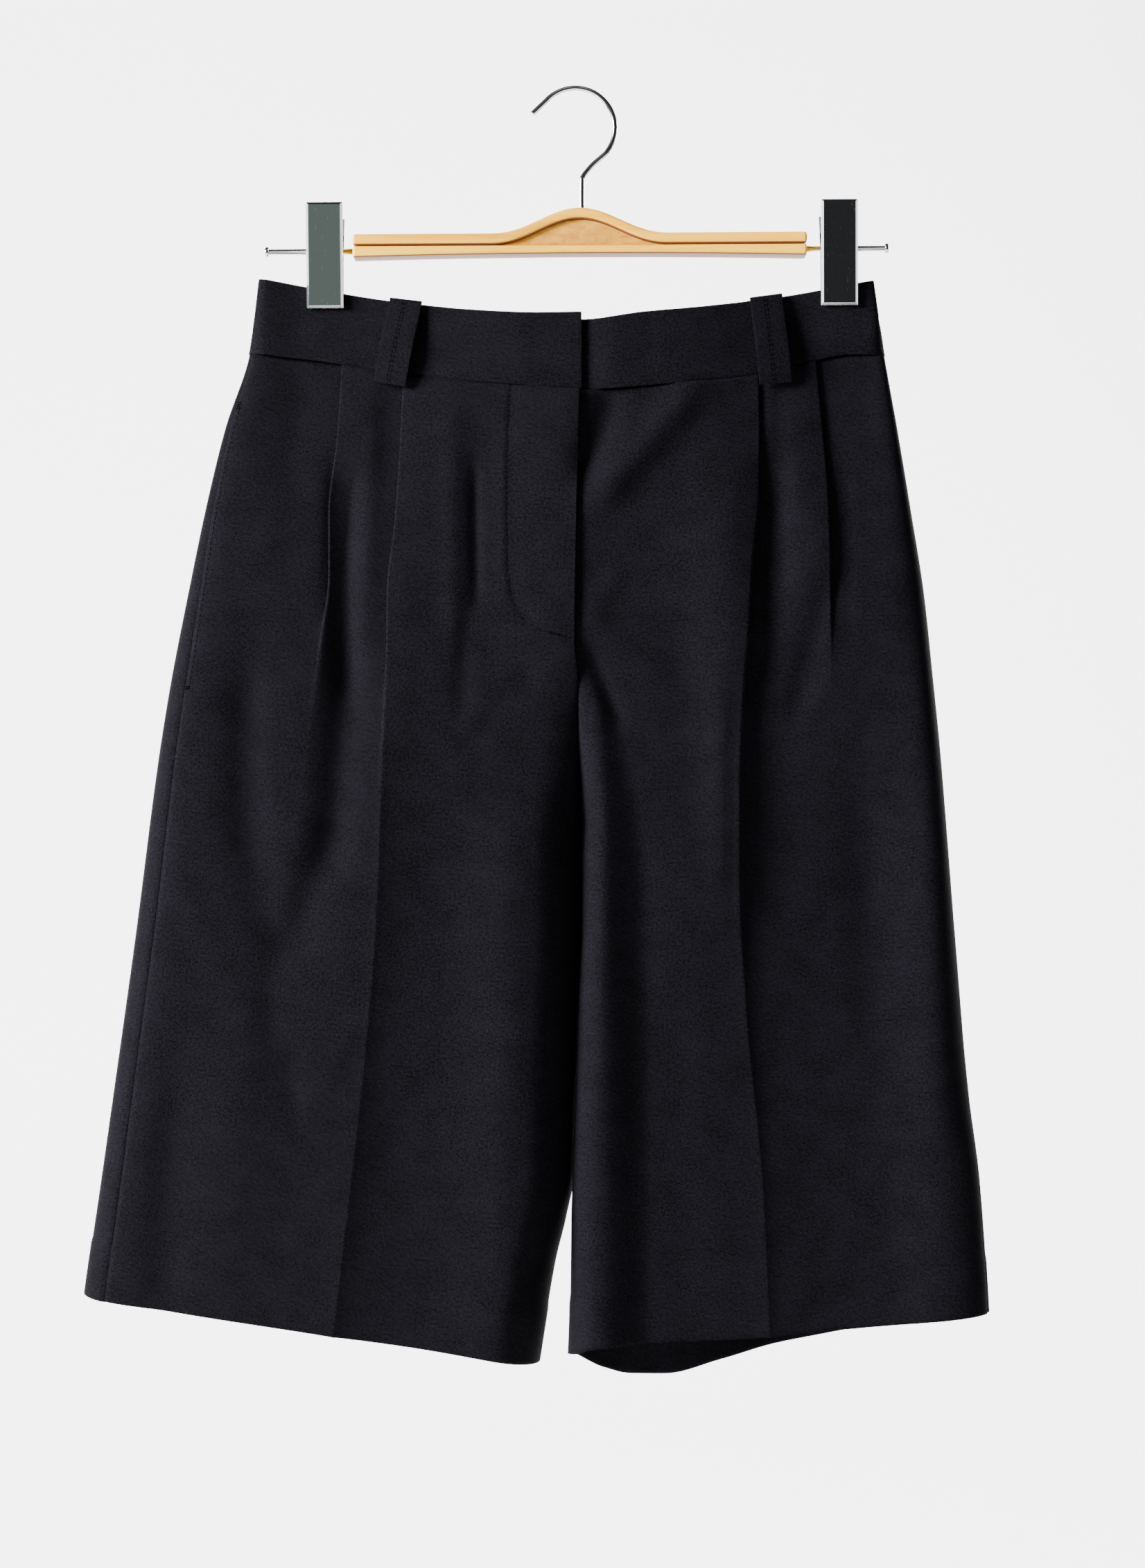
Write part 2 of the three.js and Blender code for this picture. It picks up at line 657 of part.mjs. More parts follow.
// A stretch of the waistband. Without from or to it reaches round to the middle of a side edge.
// shift moves a part of it back or forth.
function bandPiece(face, { from, to, shift = () => 0 }) {
  const start = from ?? outlineX('left', waistTop[0].z) + sideWidth(waistTop[0].z);
  const end = to ?? outlineX('right', waistTop[0].z) - sideWidth(waistTop[0].z);
  const clipHalf = clipWidth / 2 + clipMargin;
  const jaws = Object.values(clipCentres).flatMap((x) => [x - clipHalf, x + clipHalf]);
  const stops = [start, ...jaws.filter((x) => x > start && x < end), end];
  const turns = [0, 0.2, 0.4, 0.6, 0.8];
  const places = from === undefined ? turns.map((share) => ({ side: 'left', share })) : [];
  stops.slice(1).forEach((x, k) => {
    const count = Math.ceil((x - stops[k]) / bandStep);
    for (let n = 0; n < count; n += 1) places.push({ x: mix(stops[k], x, n / count) });
  });
  places.push({ x: end });
  if (to === undefined) places.push(...turns.map((share) => ({ side: 'right', share })).reverse());
  return levelWall(places.length, bandRows.length, bandWall, (i, j) => {
    const { x, side, share } = places[i];
    const across = (z) => (side ? edgeX(side, share * Math.PI / 2, z) : x);
    let z = jawZ;
    for (let turn = 0; turn < 4; turn += 1) z = bandHeight(across(z), bandRows[j]);
    const clear = share === 0 ? outwards(face) * 1.5 * seamGap : 0;
    return new THREE.Vector3(across(z), bandY(face, across(z), z) + clear + shift(across(z)), z);
  });
}

// A belt loop in side view, from its fold over the top edge to its end on the panel: the share of
// the way down, the height over that place, and how far the strip's middle stands out
const loopPath = [
  { down: 0, up: 1.25, out: 0.2 },
  { down: 0, up: 1.15, out: 2.6 },
  { down: 0, up: 0.2, out: 3.3 },
  { down: 0.12, up: 0, out: 4.4 },
  { down: 0.35, up: 0, out: 6.4 },
  { down: 0.6, up: 0, out: 7.4 },
  { down: 0.82, up: 0, out: 6.8 },
  { down: 0.95, up: 0, out: 5.2 },
  { down: 1, up: 0, out: 4.2 },
];

function beltLoop({ face, topX, lowX }) {
  const columns = 3;
  const topZ = read(waistTop, 'x', topX, 'z');
  const lowZ = read(waistSeam, 'x', lowX, 'z') - loopBelowSeam;
  const tilt = Math.atan2(lowX - topX, topZ - lowZ);
  const slope = (read(waistTop, 'x', topX + 5, 'z') - read(waistTop, 'x', topX - 5, 'z')) / 10;
  const grid = makeGrid(columns, loopPath.length, (i, j) => {
    const { down, up, out } = loopPath[j];
    const across = (i / (columns - 1) - 0.5) * loopWidth;
    const x = mix(topX, lowX, down) + across * Math.cos(tilt);
    const z = mix(topZ, lowZ, down) + up + across * (down === 0 ? slope : Math.sin(tilt));
    return new THREE.Vector3(x, outwards(face) * (halfDepth(face, x, z) + out + bandLift(z)), z);
  });
  return closedWall(grid, loopWall, (i, j) => squareTo(
    grid[Math.max(0, j - 1)][i],
    grid[j][i],
    grid[Math.min(loopPath.length - 1, j + 1)][i],
    'y',
    'z',
  ));
}

// Booleans on closed meshes
function solidOf(geometry) {
  const bare = geometry.clone();
  bare.deleteAttribute('normal');
  bare.deleteAttribute('uv');
  const merged = mergeVertices(bare, 1e-4);
  return new wasm.Manifold(new wasm.Mesh({
    numProp: 3,
    vertProperties: new Float32Array(merged.attributes.position.array),
    triVerts: new Uint32Array(merged.index.array),
  }));
}

function geometryOf(solid) {
  const mesh = solid.getMesh();
  const geometry = new THREE.BufferGeometry();
  geometry.setAttribute('position', new THREE.Float32BufferAttribute(mesh.vertProperties, 3));
  geometry.setIndex([...mesh.triVerts]);
  geometry.computeVertexNormals();
  return geometry;
}

// Hook: a nearly straight free end, a round arc, a straight run back to the kink, and the shank
function hookGeometry() {
  const centreZ = wireDiameter / 2 - hookRadius;
  const points = [new THREE.Vector3(hookFreeEnd.x, 0, hookFreeEnd.z)];
  for (let degrees = hookArc.from; degrees >= hookArc.to; degrees -= hookArc.step) {
    const angle = THREE.MathUtils.degToRad(degrees);
    const z = centreZ + hookRadius * Math.sin(angle);
    points.push(new THREE.Vector3(hookRadius * Math.cos(angle), 0, z));
  }
  points.push(new THREE.Vector3(shankX + 6.9, 0, kinkZ + 7.1));
  points.push(new THREE.Vector3(shankX + 2.5, 0, kinkZ + 2.2));
  points.push(new THREE.Vector3(shankX + 0.5, 0, kinkZ - 0.8));
  points.push(new THREE.Vector3(shankX, 0, kinkZ - 4));
  points.push(new THREE.Vector3(shankX, 0, woodTopZ + humpHeight - shankDepth));
  const section = new THREE.Shape();
  section.absarc(0, 0, wireDiameter / 2, 0, 2 * Math.PI);
  return new THREE.ExtrudeGeometry(section, {
    steps: 42,
    extrudePath: new THREE.CatmullRomCurve3(points, false, 'centripetal'),
    curveSegments: 4,
    bevelEnabled: false,
  });
}

// Wood: a strip bent over the middle, a nearly straight lower strip and a lens between them
const hump = (x) => {
  const run = clamp01(Math.abs(x - woodMidX) / humpHalfWidth);
  return humpHeight * (0.5 + 0.5 * Math.cos(Math.PI * run)) ** 1.15;
};
const woodTop = (x) => woodTopZ + hump(x);
const grooveZ = (x) => Math.max(lowerTopZ, woodTopZ - grooveDrop + hump(x));
const woodBottom = (x) => woodBottomZ + bottomArch * (1 - ((x - woodMidX) / woodHalfLength) ** 2);

// Outline between two curves, extruded along Y about its middle, with rounded edges
function woodGeometry(low, high, halfLength, thick, bevel, count) {
  const xs = Array.from({ length: count + 1 }, (_, k) => woodMidX + (halfLength - bevel) * (2 * k / count - 1));
  const shape = new THREE.Shape();
  shape.moveTo(xs[0], low(xs[0]) + bevel);
  xs.slice(1).forEach((x) => shape.lineTo(x, low(x) + bevel));
  [...xs].reverse().forEach((x) => shape.lineTo(x, high(x) - bevel));
  const flat = thick - 2 * bevel;
  return new THREE.ExtrudeGeometry(shape, {
    depth: flat,
    bevelEnabled: bevel > 0,
    bevelThickness: bevel,
    bevelSize: bevel,
    bevelSegments: 2,
  }).translate(0, 0, -flat / 2).rotateX(Math.PI / 2);
}

function boredStrip(geometry, diameter, places) {
  let solid = solidOf(geometry);
  for (const { x, z, upright } of places) {
    const radius = diameter / 2 + seamGap;
    const bore = new THREE.CylinderGeometry(radius, radius, 2 * boreDepth, 16);
    if (upright) bore.rotateX(Math.PI / 2);
    else bore.rotateZ(Math.PI / 2);
    solid = solid.subtract(solidOf(bore.translate(x, 0, z)));
  }
  return geometryOf(solid);
}

function upperStrip() {
  const low = (x) => grooveZ(x) + seamGap / 2;
  const strip = woodGeometry(low, woodTop, woodHalfLength, woodDepth, edgeRound, 30);
  const boreZ = woodTopZ + humpHeight - shankDepth - seamGap + boreDepth;
  return boredStrip(strip, wireDiameter, [{ x: shankX, z: boreZ, upright: true }]);
}

function lowerStrip() {
  const high = () => lowerTopZ - seamGap / 2;
  const strip = woodGeometry(woodBottom, high, woodHalfLength, woodDepth, edgeRound, 12);
  const ends = [-1, 1].map((way) => ({ x: woodMidX + way * woodHalfLength, z: rodZ }));
  return boredStrip(strip, rodDiameter, ends);
}

function insertLens() {
  const floor = lowerTopZ + seamGap;
  const roof = (x) => Math.max(floor + 0.1, grooveZ(x) - seamGap);
  return woodGeometry(() => floor, roof, insertHalfLength, insertDepth, 0, 24);
}

// A rod with its flat end head, from inside the wood to the outer end
function rodGeometry(side) {
  const end = Math.abs(rodEnds[side]);
  const start = woodHalfLength + towards(side) * woodMidX - boreDepth + 1;
  const chamfer = 0.7;
  const profile = [
    new THREE.Vector2(0, start),
    new THREE.Vector2(rodDiameter / 2, start),
    new THREE.Vector2(rodDiameter / 2, end - headLength),
    new THREE.Vector2(headDiameter / 2, end - headLength),
    new THREE.Vector2(headDiameter / 2, end - chamfer),
    new THREE.Vector2(headDiameter / 2 - chamfer, end),
    new THREE.Vector2(0, end),
  ];
  return new THREE.LatheGeometry(profile, 12).rotateZ(-towards(side) * Math.PI / 2).translate(0, 0, rodZ);
}

// Front plate of a clip: bevelled, leaning from the jaw to the barrel
function clipFront(clipX) {
  const half = clipWidth / 2 - clipBevel;
  const tall = clipHeight - clipBevel;
  const plate = new THREE.Shape();
  plate.moveTo(-half, clipBevel);
  plate.lineTo(half, clipBevel);
  plate.lineTo(half, tall);
  plate.lineTo(-half, tall);
  const lowZ = clipTopZ - clipHeight;
  const lean = Math.atan2(barrelDiameter / 2 + seamGap - jawGap, rodZ - lowZ);
  return new THREE.ExtrudeGeometry(plate, {
    depth: clipPlate - 2 * clipBevel,
    bevelEnabled: true,
    bevelThickness: clipBevel,
    bevelSize: clipBevel,
    bevelSegments: 1,
  }).translate(0, 0, clipBevel).rotateX(Math.PI / 2 + lean).translate(clipX, -jawGap, lowZ);
}

// Back plate of a clip: bent at the barrel, so that its top stands away to be squeezed
function clipBack(clipX) {
  const width = clipWidth - 1;
  const low = clipTopZ - clipHeight + backPlateLift;
  const top = low + backPlateHeight;
  const bend = barrelDiameter / 2 + seamGap;
  const section = new THREE.Shape();
  section.moveTo(jawGap, low);
  section.lineTo(jawGap + backPlate, low);
  section.lineTo(bend + backPlate, rodZ);
  section.lineTo(bend + backPlateFlare + backPlate, top);
  section.lineTo(bend + backPlateFlare, top);
  section.lineTo(bend, rodZ);
  const toSide = new THREE.Matrix4().set(0, 0, 1, 0, 1, 0, 0, 0, 0, 1, 0, 0, 0, 0, 0, 1);
  return new THREE.ExtrudeGeometry(section, { depth: width, bevelEnabled: false })
    .applyMatrix4(toSide).translate(clipX - width / 2, 0, 0);
}

function clipBarrel(clipX) {
  const bore = rodDiameter / 2 + seamGap;
  const half = barrelLength / 2;
  const ring = [
    new THREE.Vector2(bore, -half),
    new THREE.Vector2(barrelDiameter / 2, -half),
    new THREE.Vector2(barrelDiameter / 2, half),
    new THREE.Vector2(bore, half),
    new THREE.Vector2(bore, -half),
  ];
  return new THREE.LatheGeometry(ring, 16).rotateZ(Math.PI / 2).translate(clipX, 0, rodZ);
}

function add(group, name, geometry, material) {
  const mesh = new THREE.Mesh(geometry, material);
  mesh.name = name;
  group.add(mesh);
}

const part = new THREE.Group();
for (const side of ['left', 'right']) {
  add(part, `front_panel_${side}`, frontPanel(side), materials.cloth);
  add(part, `back_panel_${side}`, backPanel(side), materials.cloth);
}

// The waistband's left end lies over the right end, which runs on behind it
const behind = (x) => 3 * soft((lapX + 10 - x) / 8);
add(part, 'waistband_front_left', bandPiece('front', { to: lapX }), materials.cloth);
const underEnd = bandPiece('front', { from: lapX - bandUnderlap, shift: behind });
add(part, 'waistband_front_right', underEnd, materials.cloth);
add(part, 'waistband_back', bandPiece('back', {}), materials.cloth);
for (const loop of beltLoops) add(part, loop.name, beltLoop(loop), materials.cloth);

// The hanger tilts about the foot of the hook's shank
const tilt = THREE.MathUtils.degToRad(hangerTilt);
const hanger = new THREE.Group();
hanger.rotation.y = tilt;
hanger.position.x = shankX * (1 - Math.cos(tilt)) - woodTopZ * Math.sin(tilt);
hanger.position.z = woodTopZ * (1 - Math.cos(tilt)) + shankX * Math.sin(tilt);
part.add(hanger);
add(hanger, 'hanger_upper_strip', upperStrip(), materials.wood);
add(hanger, 'hanger_lower_strip', lowerStrip(), materials.wood);
add(hanger, 'hanger_insert', insertLens(), materials.insert);
for (const [side, clipX] of Object.entries(clipCentres)) {
  add(hanger, `rod_${side}`, rodGeometry(side), materials.chrome);
  add(hanger, `clip_${side}_front_plate`, clipFront(clipX), materials.chrome);
  add(hanger, `clip_${side}_back_plate`, clipBack(clipX), materials.chrome);
  add(hanger, `clip_${side}_barrel`, clipBarrel(clipX), materials.chrome);
}
add(part, 'hook', hookGeometry(), materials.chrome);

export default part;
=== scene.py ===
import math

import bmesh
import bpy
import numpy as np
from mathutils import Matrix, Vector


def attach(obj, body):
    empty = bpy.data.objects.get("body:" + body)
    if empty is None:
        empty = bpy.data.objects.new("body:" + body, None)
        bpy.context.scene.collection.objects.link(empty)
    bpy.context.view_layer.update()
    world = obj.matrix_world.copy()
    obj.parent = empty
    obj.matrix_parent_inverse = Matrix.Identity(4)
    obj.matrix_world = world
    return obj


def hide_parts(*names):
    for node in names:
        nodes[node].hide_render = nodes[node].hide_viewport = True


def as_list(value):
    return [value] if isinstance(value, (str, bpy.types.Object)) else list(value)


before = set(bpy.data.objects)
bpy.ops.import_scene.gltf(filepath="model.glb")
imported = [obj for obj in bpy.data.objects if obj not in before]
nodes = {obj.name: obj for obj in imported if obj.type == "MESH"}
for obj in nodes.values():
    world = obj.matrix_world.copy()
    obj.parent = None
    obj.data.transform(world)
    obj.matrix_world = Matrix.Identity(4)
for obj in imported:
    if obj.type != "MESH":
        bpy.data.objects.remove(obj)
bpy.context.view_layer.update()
metre = 0.001
print("stage: frame loaded")


# Tables with named columns; the first column is the key
def table(names, *rows):
    return dict(zip(names.split(), np.array(sorted(rows), float).T))


outline = table(
    "z left right",
    (-112, -186.1, 175.5), (-157, -192, 182), (-200.5, -206, 189.4), (-249.7, -217.7, 197.2),
    (-299, -227.6, 204.6), (-348, -237, 209.5), (-397, -244.8, 214.4), (-495.7, -257.9, 223),
    (-594, -271.8, 232), (-643.3, -278.8, 238.2), (-722, -290, 243.5), (-760, -294, 245),
)
waistTop = table(
    "x z",
    (-187, -111.8), (-100, -126.5), (-48, -132.3), (4, -135), (55, -131.3), (113, -124),
    (176, -112.6),
)
waistSeam = table(
    "x z",
    (-192, -156.6), (-146, -162), (-96.6, -170), (-29.5, -176.8), (6, -179.2), (60, -175.2),
    (107.4, -170), (132, -163.4), (162.8, -157.2), (182, -157.4),
)
hems = {
    "frontleft": table(
        "x z", (-290, -709), (-215, -719.7), (-143, -730.4), (-56, -743.8), (-20, -751),
    ),
    "frontright": table(
        "x z", (-5, -746), (11.5, -738.5), (110, -733.7), (175, -728), (243.5, -721),
    ),
    "backleft": table(
        "x z", (-290, -709), (-220, -721), (-120, -737), (-60, -747), (-20, -751),
    ),
    "backright": table(
        "x z", (-5, -746), (16, -760.5), (34, -764.7), (54, -764.7), (87, -756.7), (122, -747),
        (190, -733), (243.5, -721),
    ),
}
depth = table(
    "z front back press sideRound",
    (-112, 12, 12, 0.875, 5), (-131, 12, 12, 0.875, 6), (-158, 15, 15, 0.66, 11),
    (-200, 19, 20, 0.44, 22), (-260, 23.5, 26, 0.22, 30), (-320, 27, 30, 0.07, 36),
    (-400, 29, 33, 0, 40), (-500, 28, 31, 0, 42), (-620, 27, 28, 0, 42), (-760, 27, 27, 0, 42),
)
sideSeam = table(
    "z left right",
    (-157, -26, 12), (-230, -32, 10), (-355, -44, 6), (-523, -46, -3), (-600, -47, -9),
    (-760, -50, -16),
)
centreLine = table(
    "z x",
    (-157, 3.2), (-178, 2.5), (-248, 0.8), (-326, -0.4), (-349.7, 1.6), (-376.4, 1.6),
    (-412.5, 2.9), (-483, 4.3), (-541, 1.8), (-584, 0.4), (-652.7, -2), (-717, -2.9),
    (-760, -4.6),
)
innerEdge = table(
    "z leftX leftY rightX rightY",
    (-433, -0.45, 0, 0.45, 0), (-442, -0.1, 4, 0.1, -4), (-455, 0.6, 8, -0.1, -8),
    (-485, 1.2, 12, 0, -12),
    (-640, 1, 12, 0.6, -12), (-668, -3.5, 11, 0.4, -10), (-692.5, -9.3, 8, 0.4, -8),
    (-717, -13.3, 5, 0.4, -6), (-760, -18.4, 0, 0.6, 0),
)

# Pleats: place of the fold edge, how far the cloth doubles back, how high the edge stands,
# and how far the fold has opened into a plain ridge
pleatNames = "z x overlap drop open"
pleats = {
    "leftInner": table(
        pleatNames,
        (-157, -100.1, 15, 2.4, 0), (-215.7, -102.4, 12, 2.6, 0), (-261, -105.3, 9, 3, 0),
        (-296, -109, 6, 3.2, 0), (-330, -109.4, 4, 2.8, 0.15), (-370, -110.8, 3, 1.8, 0.6),
        (-420, -112.7, 3, 0.8, 1), (-484, -115, 2, 0.2, 1), (-574, -122.5, 2, 0.1, 1),
        (-664, -132.6, 2, 0.1, 1), (-760, -144.1, 2, 0.1, 1),
    ),
    "rightInner": table(
        pleatNames,
        (-157, 107, 15, 2.4, 0), (-200, 107.7, 13, 2.8, 0), (-240, 107, 10, 4, 0),
        (-285, 102.8, 7, 5.4, 0), (-321, 100.8, 5, 6, 0.1), (-356, 98, 4, 6, 0.45),
        (-409, 95.6, 3, 4.6, 1), (-462, 95.6, 2, 2.8, 1), (-541, 99.6, 2, 1.2, 1),
        (-646.6, 109.6, 2, 0.6, 1), (-760, 114.6, 2, 0.4, 1),
    ),
    "leftOuter": table(
        pleatNames,
        (-157, -136.5, 13, 2.4, 0), (-207.5, -139.3, 10, 2.4, 0), (-250, -143.8, 7, 2.8, 0),
        (-288.6, -143.5, 4, 2.6, 0.1), (-328.8, -147.9, 3, 1.5, 0.6), (-380, -153.9, 2, 0.3, 1),
        (-471, -166.6, 2, 0, 1), (-600, -186.2, 2, 0, 1), (-760, -204.9, 2, 0, 1),
    ),
    "rightOuter": table(
        pleatNames,
        (-157, 141.1, 13, 2.4, 0), (-199.3, 144.6, 10, 2.6, 0), (-240, 147.5, 7, 3.4, 0),
        (-280.4, 148.7, 4, 4.2, 0.1), (-319.4, 148.7, 3, 1.8, 0.5), (-345, 149.4, 2, 0.2, 1),
        (-400, 151, 2, 0, 1), (-500, 154.8, 2, 0, 1), (-760, 168.5, 2, 0, 1),
    ),
}
openPleat = table(
    "step shift rise",
    (0, -4, 0.86), (1, -1.8, 0.97), (2, -0.4, 1), (3, 0.6, 0.8), (4, 1.6, 0.56), (5, 2.8, 0.36),
    (6, 4.4, 0.2), (7, 6.6, 0.09), (8, 9.6, 0.03), (9, 14, 0),
)

# Soft folds, from one end to the other; negative heights are troughs
foldNames = "x0 z0 x1 z1 width height".split()
folds = {
    "front": [
        (-58.5, -226, -57.5, -302, 3.8, -1.7), (-56, -215, -56, -330, 13, -0.9),
        (-72, -200, -70, -330, 7, 1.2), (-24, -345, -62, -392, 7, -1.4),
        (-30, -352, -64, -398, 6, 0.8), (-64, -310, -66, -372, 6, -1),
        (-134, -226, -135, -352, 8, -6.6), (-131, -340, -141, -450, 12, -5),
        (-140, -440, -168, -512, 12, -3.4), (-190, -345, -191, -440, 12, -3),
        (-190, -434, -176, -506, 12, -2.2), (-175, -508, -175, -590, 12, -1.4),
        (-232, -570, -240, -725, 13, -2), (-196, -560, -204, -720, 20, 1.5),
        (-34, -430, -44, -745, 24, 4.8), (-42, -210, -42, -300, 6, 0.6),
        (72, -176, 10, -248, 10, 3.8), (22, -180, 5, -228, 9, -3.6), (26, -285, 8, -318, 8, 1.2),
        (5, -333, 26, -374, 6, -2), (12, -318, 60, -360, 9, 1.2), (60, -540, 66, -745, 14, -1),
        (176, -420, 190, -730, 22, -3), (205, -330, 214, -600, 14, 2.5),
        (-228, -470, -178, -570, 9, 0.7), (-128, -548, -152, -596, 6, 0.5),
        (-163, -564, -164, -606, 6, -1.2), (-118, -190, -121, -290, 5, 0.7),
        (60, -300, 68, -440, 16, -1.5), (84, -350, 84, -470, 8, 1.2),
        (113, -150, 113, -212, 5, 1.2), (116, -230, 112, -360, 9, -2),
        (128, -200, 130, -310, 6, 0.6), (147, -290, 128, -372, 7, -2.2),
        (116, -380, 114, -480, 12, -1.6), (158, -230, 158, -330, 6, -0.8),
        (168, -400, 176, -560, 14, -1.5),
    ],
    "back": [
        (-30, -330, -90, -430, 16, -5), (36, -325, 94, -425, 16, -5),
        (-120, -420, -132, -735, 22, 5), (108, -420, 114, -745, 22, 5),
        (-60, -450, -68, -740, 20, -6), (50, -450, 56, -752, 20, -6),
        (-190, -360, -212, -690, 20, -5), (168, -350, 182, -700, 20, -5),
        (-100, -190, -92, -300, 18, 4), (100, -190, 96, -300, 18, 4),
        (-64, -172, -62, -262, 2.2, -0.9), (68, -172, 66, -268, 2.2, -0.9),
        (-150, -260, -128, -330, 14, 2), (146, -250, 128, -326, 13, 2),
    ],
    "band": [
        (-173, -118, -171, -164, 6, -0.7), (-129, -122, -132, -168, 5, 0.6),
        (-70, -128, -74, -174, 9, -0.6), (-34, -134, -30, -176, 8, 0.5),
        (46, -130, 40, -176, 9, -0.6), (84, -128, 88, -172, 7, 0.5),
        (134, -120, 137, -164, 5, 0.6), (172, -116, 174, -158, 4, -0.6),
    ],
}
foldEnds = {"share": 0.4, "most": 60}

seamGap = 0.3  # between pieces that are sewn or pressed together
crotchZ = -433
flyEndZ = -326
middleX = 3
jawZ = -131  # lower end of the clips
bandTopZ = -112  # where the waistband's ends are highest
bandOut = 1.7  # how far the waistband stands out over the panels
bandUnderlap = 26
lapX = 3.7  # free end of the overlapping waistband
flyProud = 2.7  # how far the fly's layers lift the cloth
flyWidth = 34
flyUnderlap = 12
ridgeFade = {"Inner": 34, "Outer": 15}
clipCentres = {"left": -147.7, "right": 155.6}
clipWidth = 21.6
clipMargin = 2
innerSpread = 70  # cloth that the clips flatten, towards the middle and outwards
outerSpread = 16
outerPress = 0.78

# Roundness of the panels: width of the turn at the inner edge, how square the outer edge is (a
# power), and how much lower that power gets down the leg
innerRound = {"frontleft": 28, "frontright": 15, "backleft": 30, "backright": 30}
innerTurn = 30
sidePower = {"frontleft": 3.4, "frontright": 4.6, "backleft": 2.6, "backright": 2.6}
softerLow = {"frontleft": 0.4, "frontright": 1.7, "backleft": 0, "backright": 0}
lowFrom = -380
lowOver = 200

# Rows and columns of the panels
panelShares = np.linspace(0, 1, 216)
sideCounts = {"front": 26, "back": 34}
edgeParts = np.linspace(0, 1, 20) ** 1.5  # columns crowd towards the inner edge
passes = 4  # rounds that fit a column's ends to the slanting seams and hems


# Smooth value of one column, between the rows
def read(rows, column, at):
    keys = next(iter(rows.values()))
    values = rows[column]
    slope = np.diff(values) / np.diff(keys)
    before = np.concatenate([slope[:1], slope])
    after = np.concatenate([slope, slope[-1:]])
    level = before * after <= 0
    tangent = np.where(level, 0, 2 * before * after / np.where(level, 1, before + after))
    i = np.clip(np.searchsorted(keys, at, side="right") - 1, 0, len(keys) - 2)
    span = keys[i + 1] - keys[i]
    t = np.clip((at - keys[i]) / span, 0, 1)
    stay = 2 * t**3 - 3 * t**2 + 1
    bend = (t**3 - 2 * t**2 + t) * tangent[i] + (t**3 - t**2) * tangent[i + 1]
    return stay * values[i] + (1 - stay) * values[i + 1] + span * bend


def mix(a, b, t):
    return a + (b - a) * t


def soft(t):
    t = np.clip(t, 0, 1)
    return t * t * (3 - 2 * t)


def roundOff(run, width):
    return np.sqrt(1 - (1 - np.clip(run / width, 0, 1)) ** 2)


def bump(away, width):
    return np.exp(-((away / width) ** 2))


def towards(side):
    return -1 if side == "left" else 1


def outwards(face):
    return -1 if face == "front" else 1


# How far the clips press the cloth flat
def pressed(x):
    most = 0
    for clipX in clipCentres.values():
        away = np.maximum(0, abs(x - clipX) - clipWidth / 2 - clipMargin)
        beside = outerPress + (1 - outerPress) * bump(away, outerSpread)
        inwards = (x - clipX) * np.sign(middleX - clipX) > 0
        most = np.maximum(most, np.where(inwards, bump(away, innerSpread), beside))
    return most


def halfDepth(face, x, z):
    return read(depth, face, z) * (1 - read(depth, "press", z) * pressed(x))


def foldHeight(name, x, z):
    total = 0
    for row in folds[name]:
        fold = dict(zip(foldNames, row))
        run = Vector((fold["x1"] - fold["x0"], fold["z1"] - fold["z0"]))
        ux, uz = run.normalized()
        along = (x - fold["x0"]) * ux + (z - fold["z0"]) * uz
        across = (x - fold["x0"]) * uz - (z - fold["z0"]) * ux
        reach = min(run.length * foldEnds["share"], foldEnds["most"])
        ends = soft(along / reach + 0.5) * soft((run.length - along) / reach + 0.5)
        total = total + fold["height"] * ends * bump(across, fold["width"])
    return total


# Slight unevenness of hanging cloth: slow waves and quick ones
def ripple(x, z, seed):
    slow = np.sin(0.043 * x + 0.012 * z + seed) * np.sin(0.019 * z - 0.015 * x + 1.7 * seed)
    quick = np.sin(0.11 * x - 0.022 * z + 2.3 * seed) * np.sin(0.037 * z + 0.01 * x + seed)
    return 0.5 * slow + 0.22 * quick


def sideWidth(z):
    return read(depth, "sideRound", z)


def outlineX(side, z):
    return read(outline, side, z)


# A panel starts to turn in near the end of the fly, and is turned fully at the crotch
turnStart = {"front": -6, "back": 10}
turnPower = 1.6


def turnIn(face, z):
    start = flyEndZ + turnStart[face]
    return np.clip((z - start) / (crotchZ - start), 0, 1) ** turnPower


# Inner edge of a panel: fly edge or centre seam, and the inner leg seam below the crotch
def innerSeam(side, face, z):
    s = towards(side)
    line = read(centreLine, "x", z)
    turned = turnIn(face, z)
    clear = seamGap * (0.5 + np.minimum(1, 6 * turned))
    if face == "back":
        x = mix(middleX, line, turned) + s * clear
    elif side == "left":
        x = line - np.where(z > flyEndZ, 0, clear)
    else:
        x = line - flyUnderlap * soft((z - flyEndZ - 1) / 16) + clear
    leg = z < crotchZ
    y = np.where(leg, read(innerEdge, side + "Y", z) + outwards(face) * seamGap,
                 outwards(face) * seamGap * turned)
    return np.where(leg, line + read(innerEdge, side + "X", z), x), y


# Pressed crease down the middle of a leg: a sharp ridge that falls away faster to the right
creases = {
    "left": {"height": 4.4, "left": 60, "right": 15},
    "right": {"height": 5.4, "left": 110, "right": 24},
}
creaseTop = -350
creaseGrow = 110


def creaseRise(side, x, z):
    crease = creases[side]
    away = x - read(pleats[side + "Inner"], "x", z)
    fall = np.where(away < 0, crease["left"], crease["right"])
    return crease["height"] * soft((creaseTop - z) / creaseGrow) * np.exp(-abs(away) / fall)


# The inner half of the right leg falls away from a soft ridge beside the inner seam
valley = table(
    "z x fall drop",
    (-322, 0, 8, 0), (-335, 4, 8, 1.2), (-361, 11, 12, 2.6), (-392, 11, 20, 4.4),
    (-423, 13, 25, 7), (-484, 13, 29, 9), (-560, 14.5, 29, 9.6), (-760, 14, 30, 9.6),
)
valleyOn = {"share": 0.42, "start": 34, "width": 66}  # slower, further on
valleyBack = {"share": 0.8, "start": 130, "width": 76}  # and up again near the outer edge


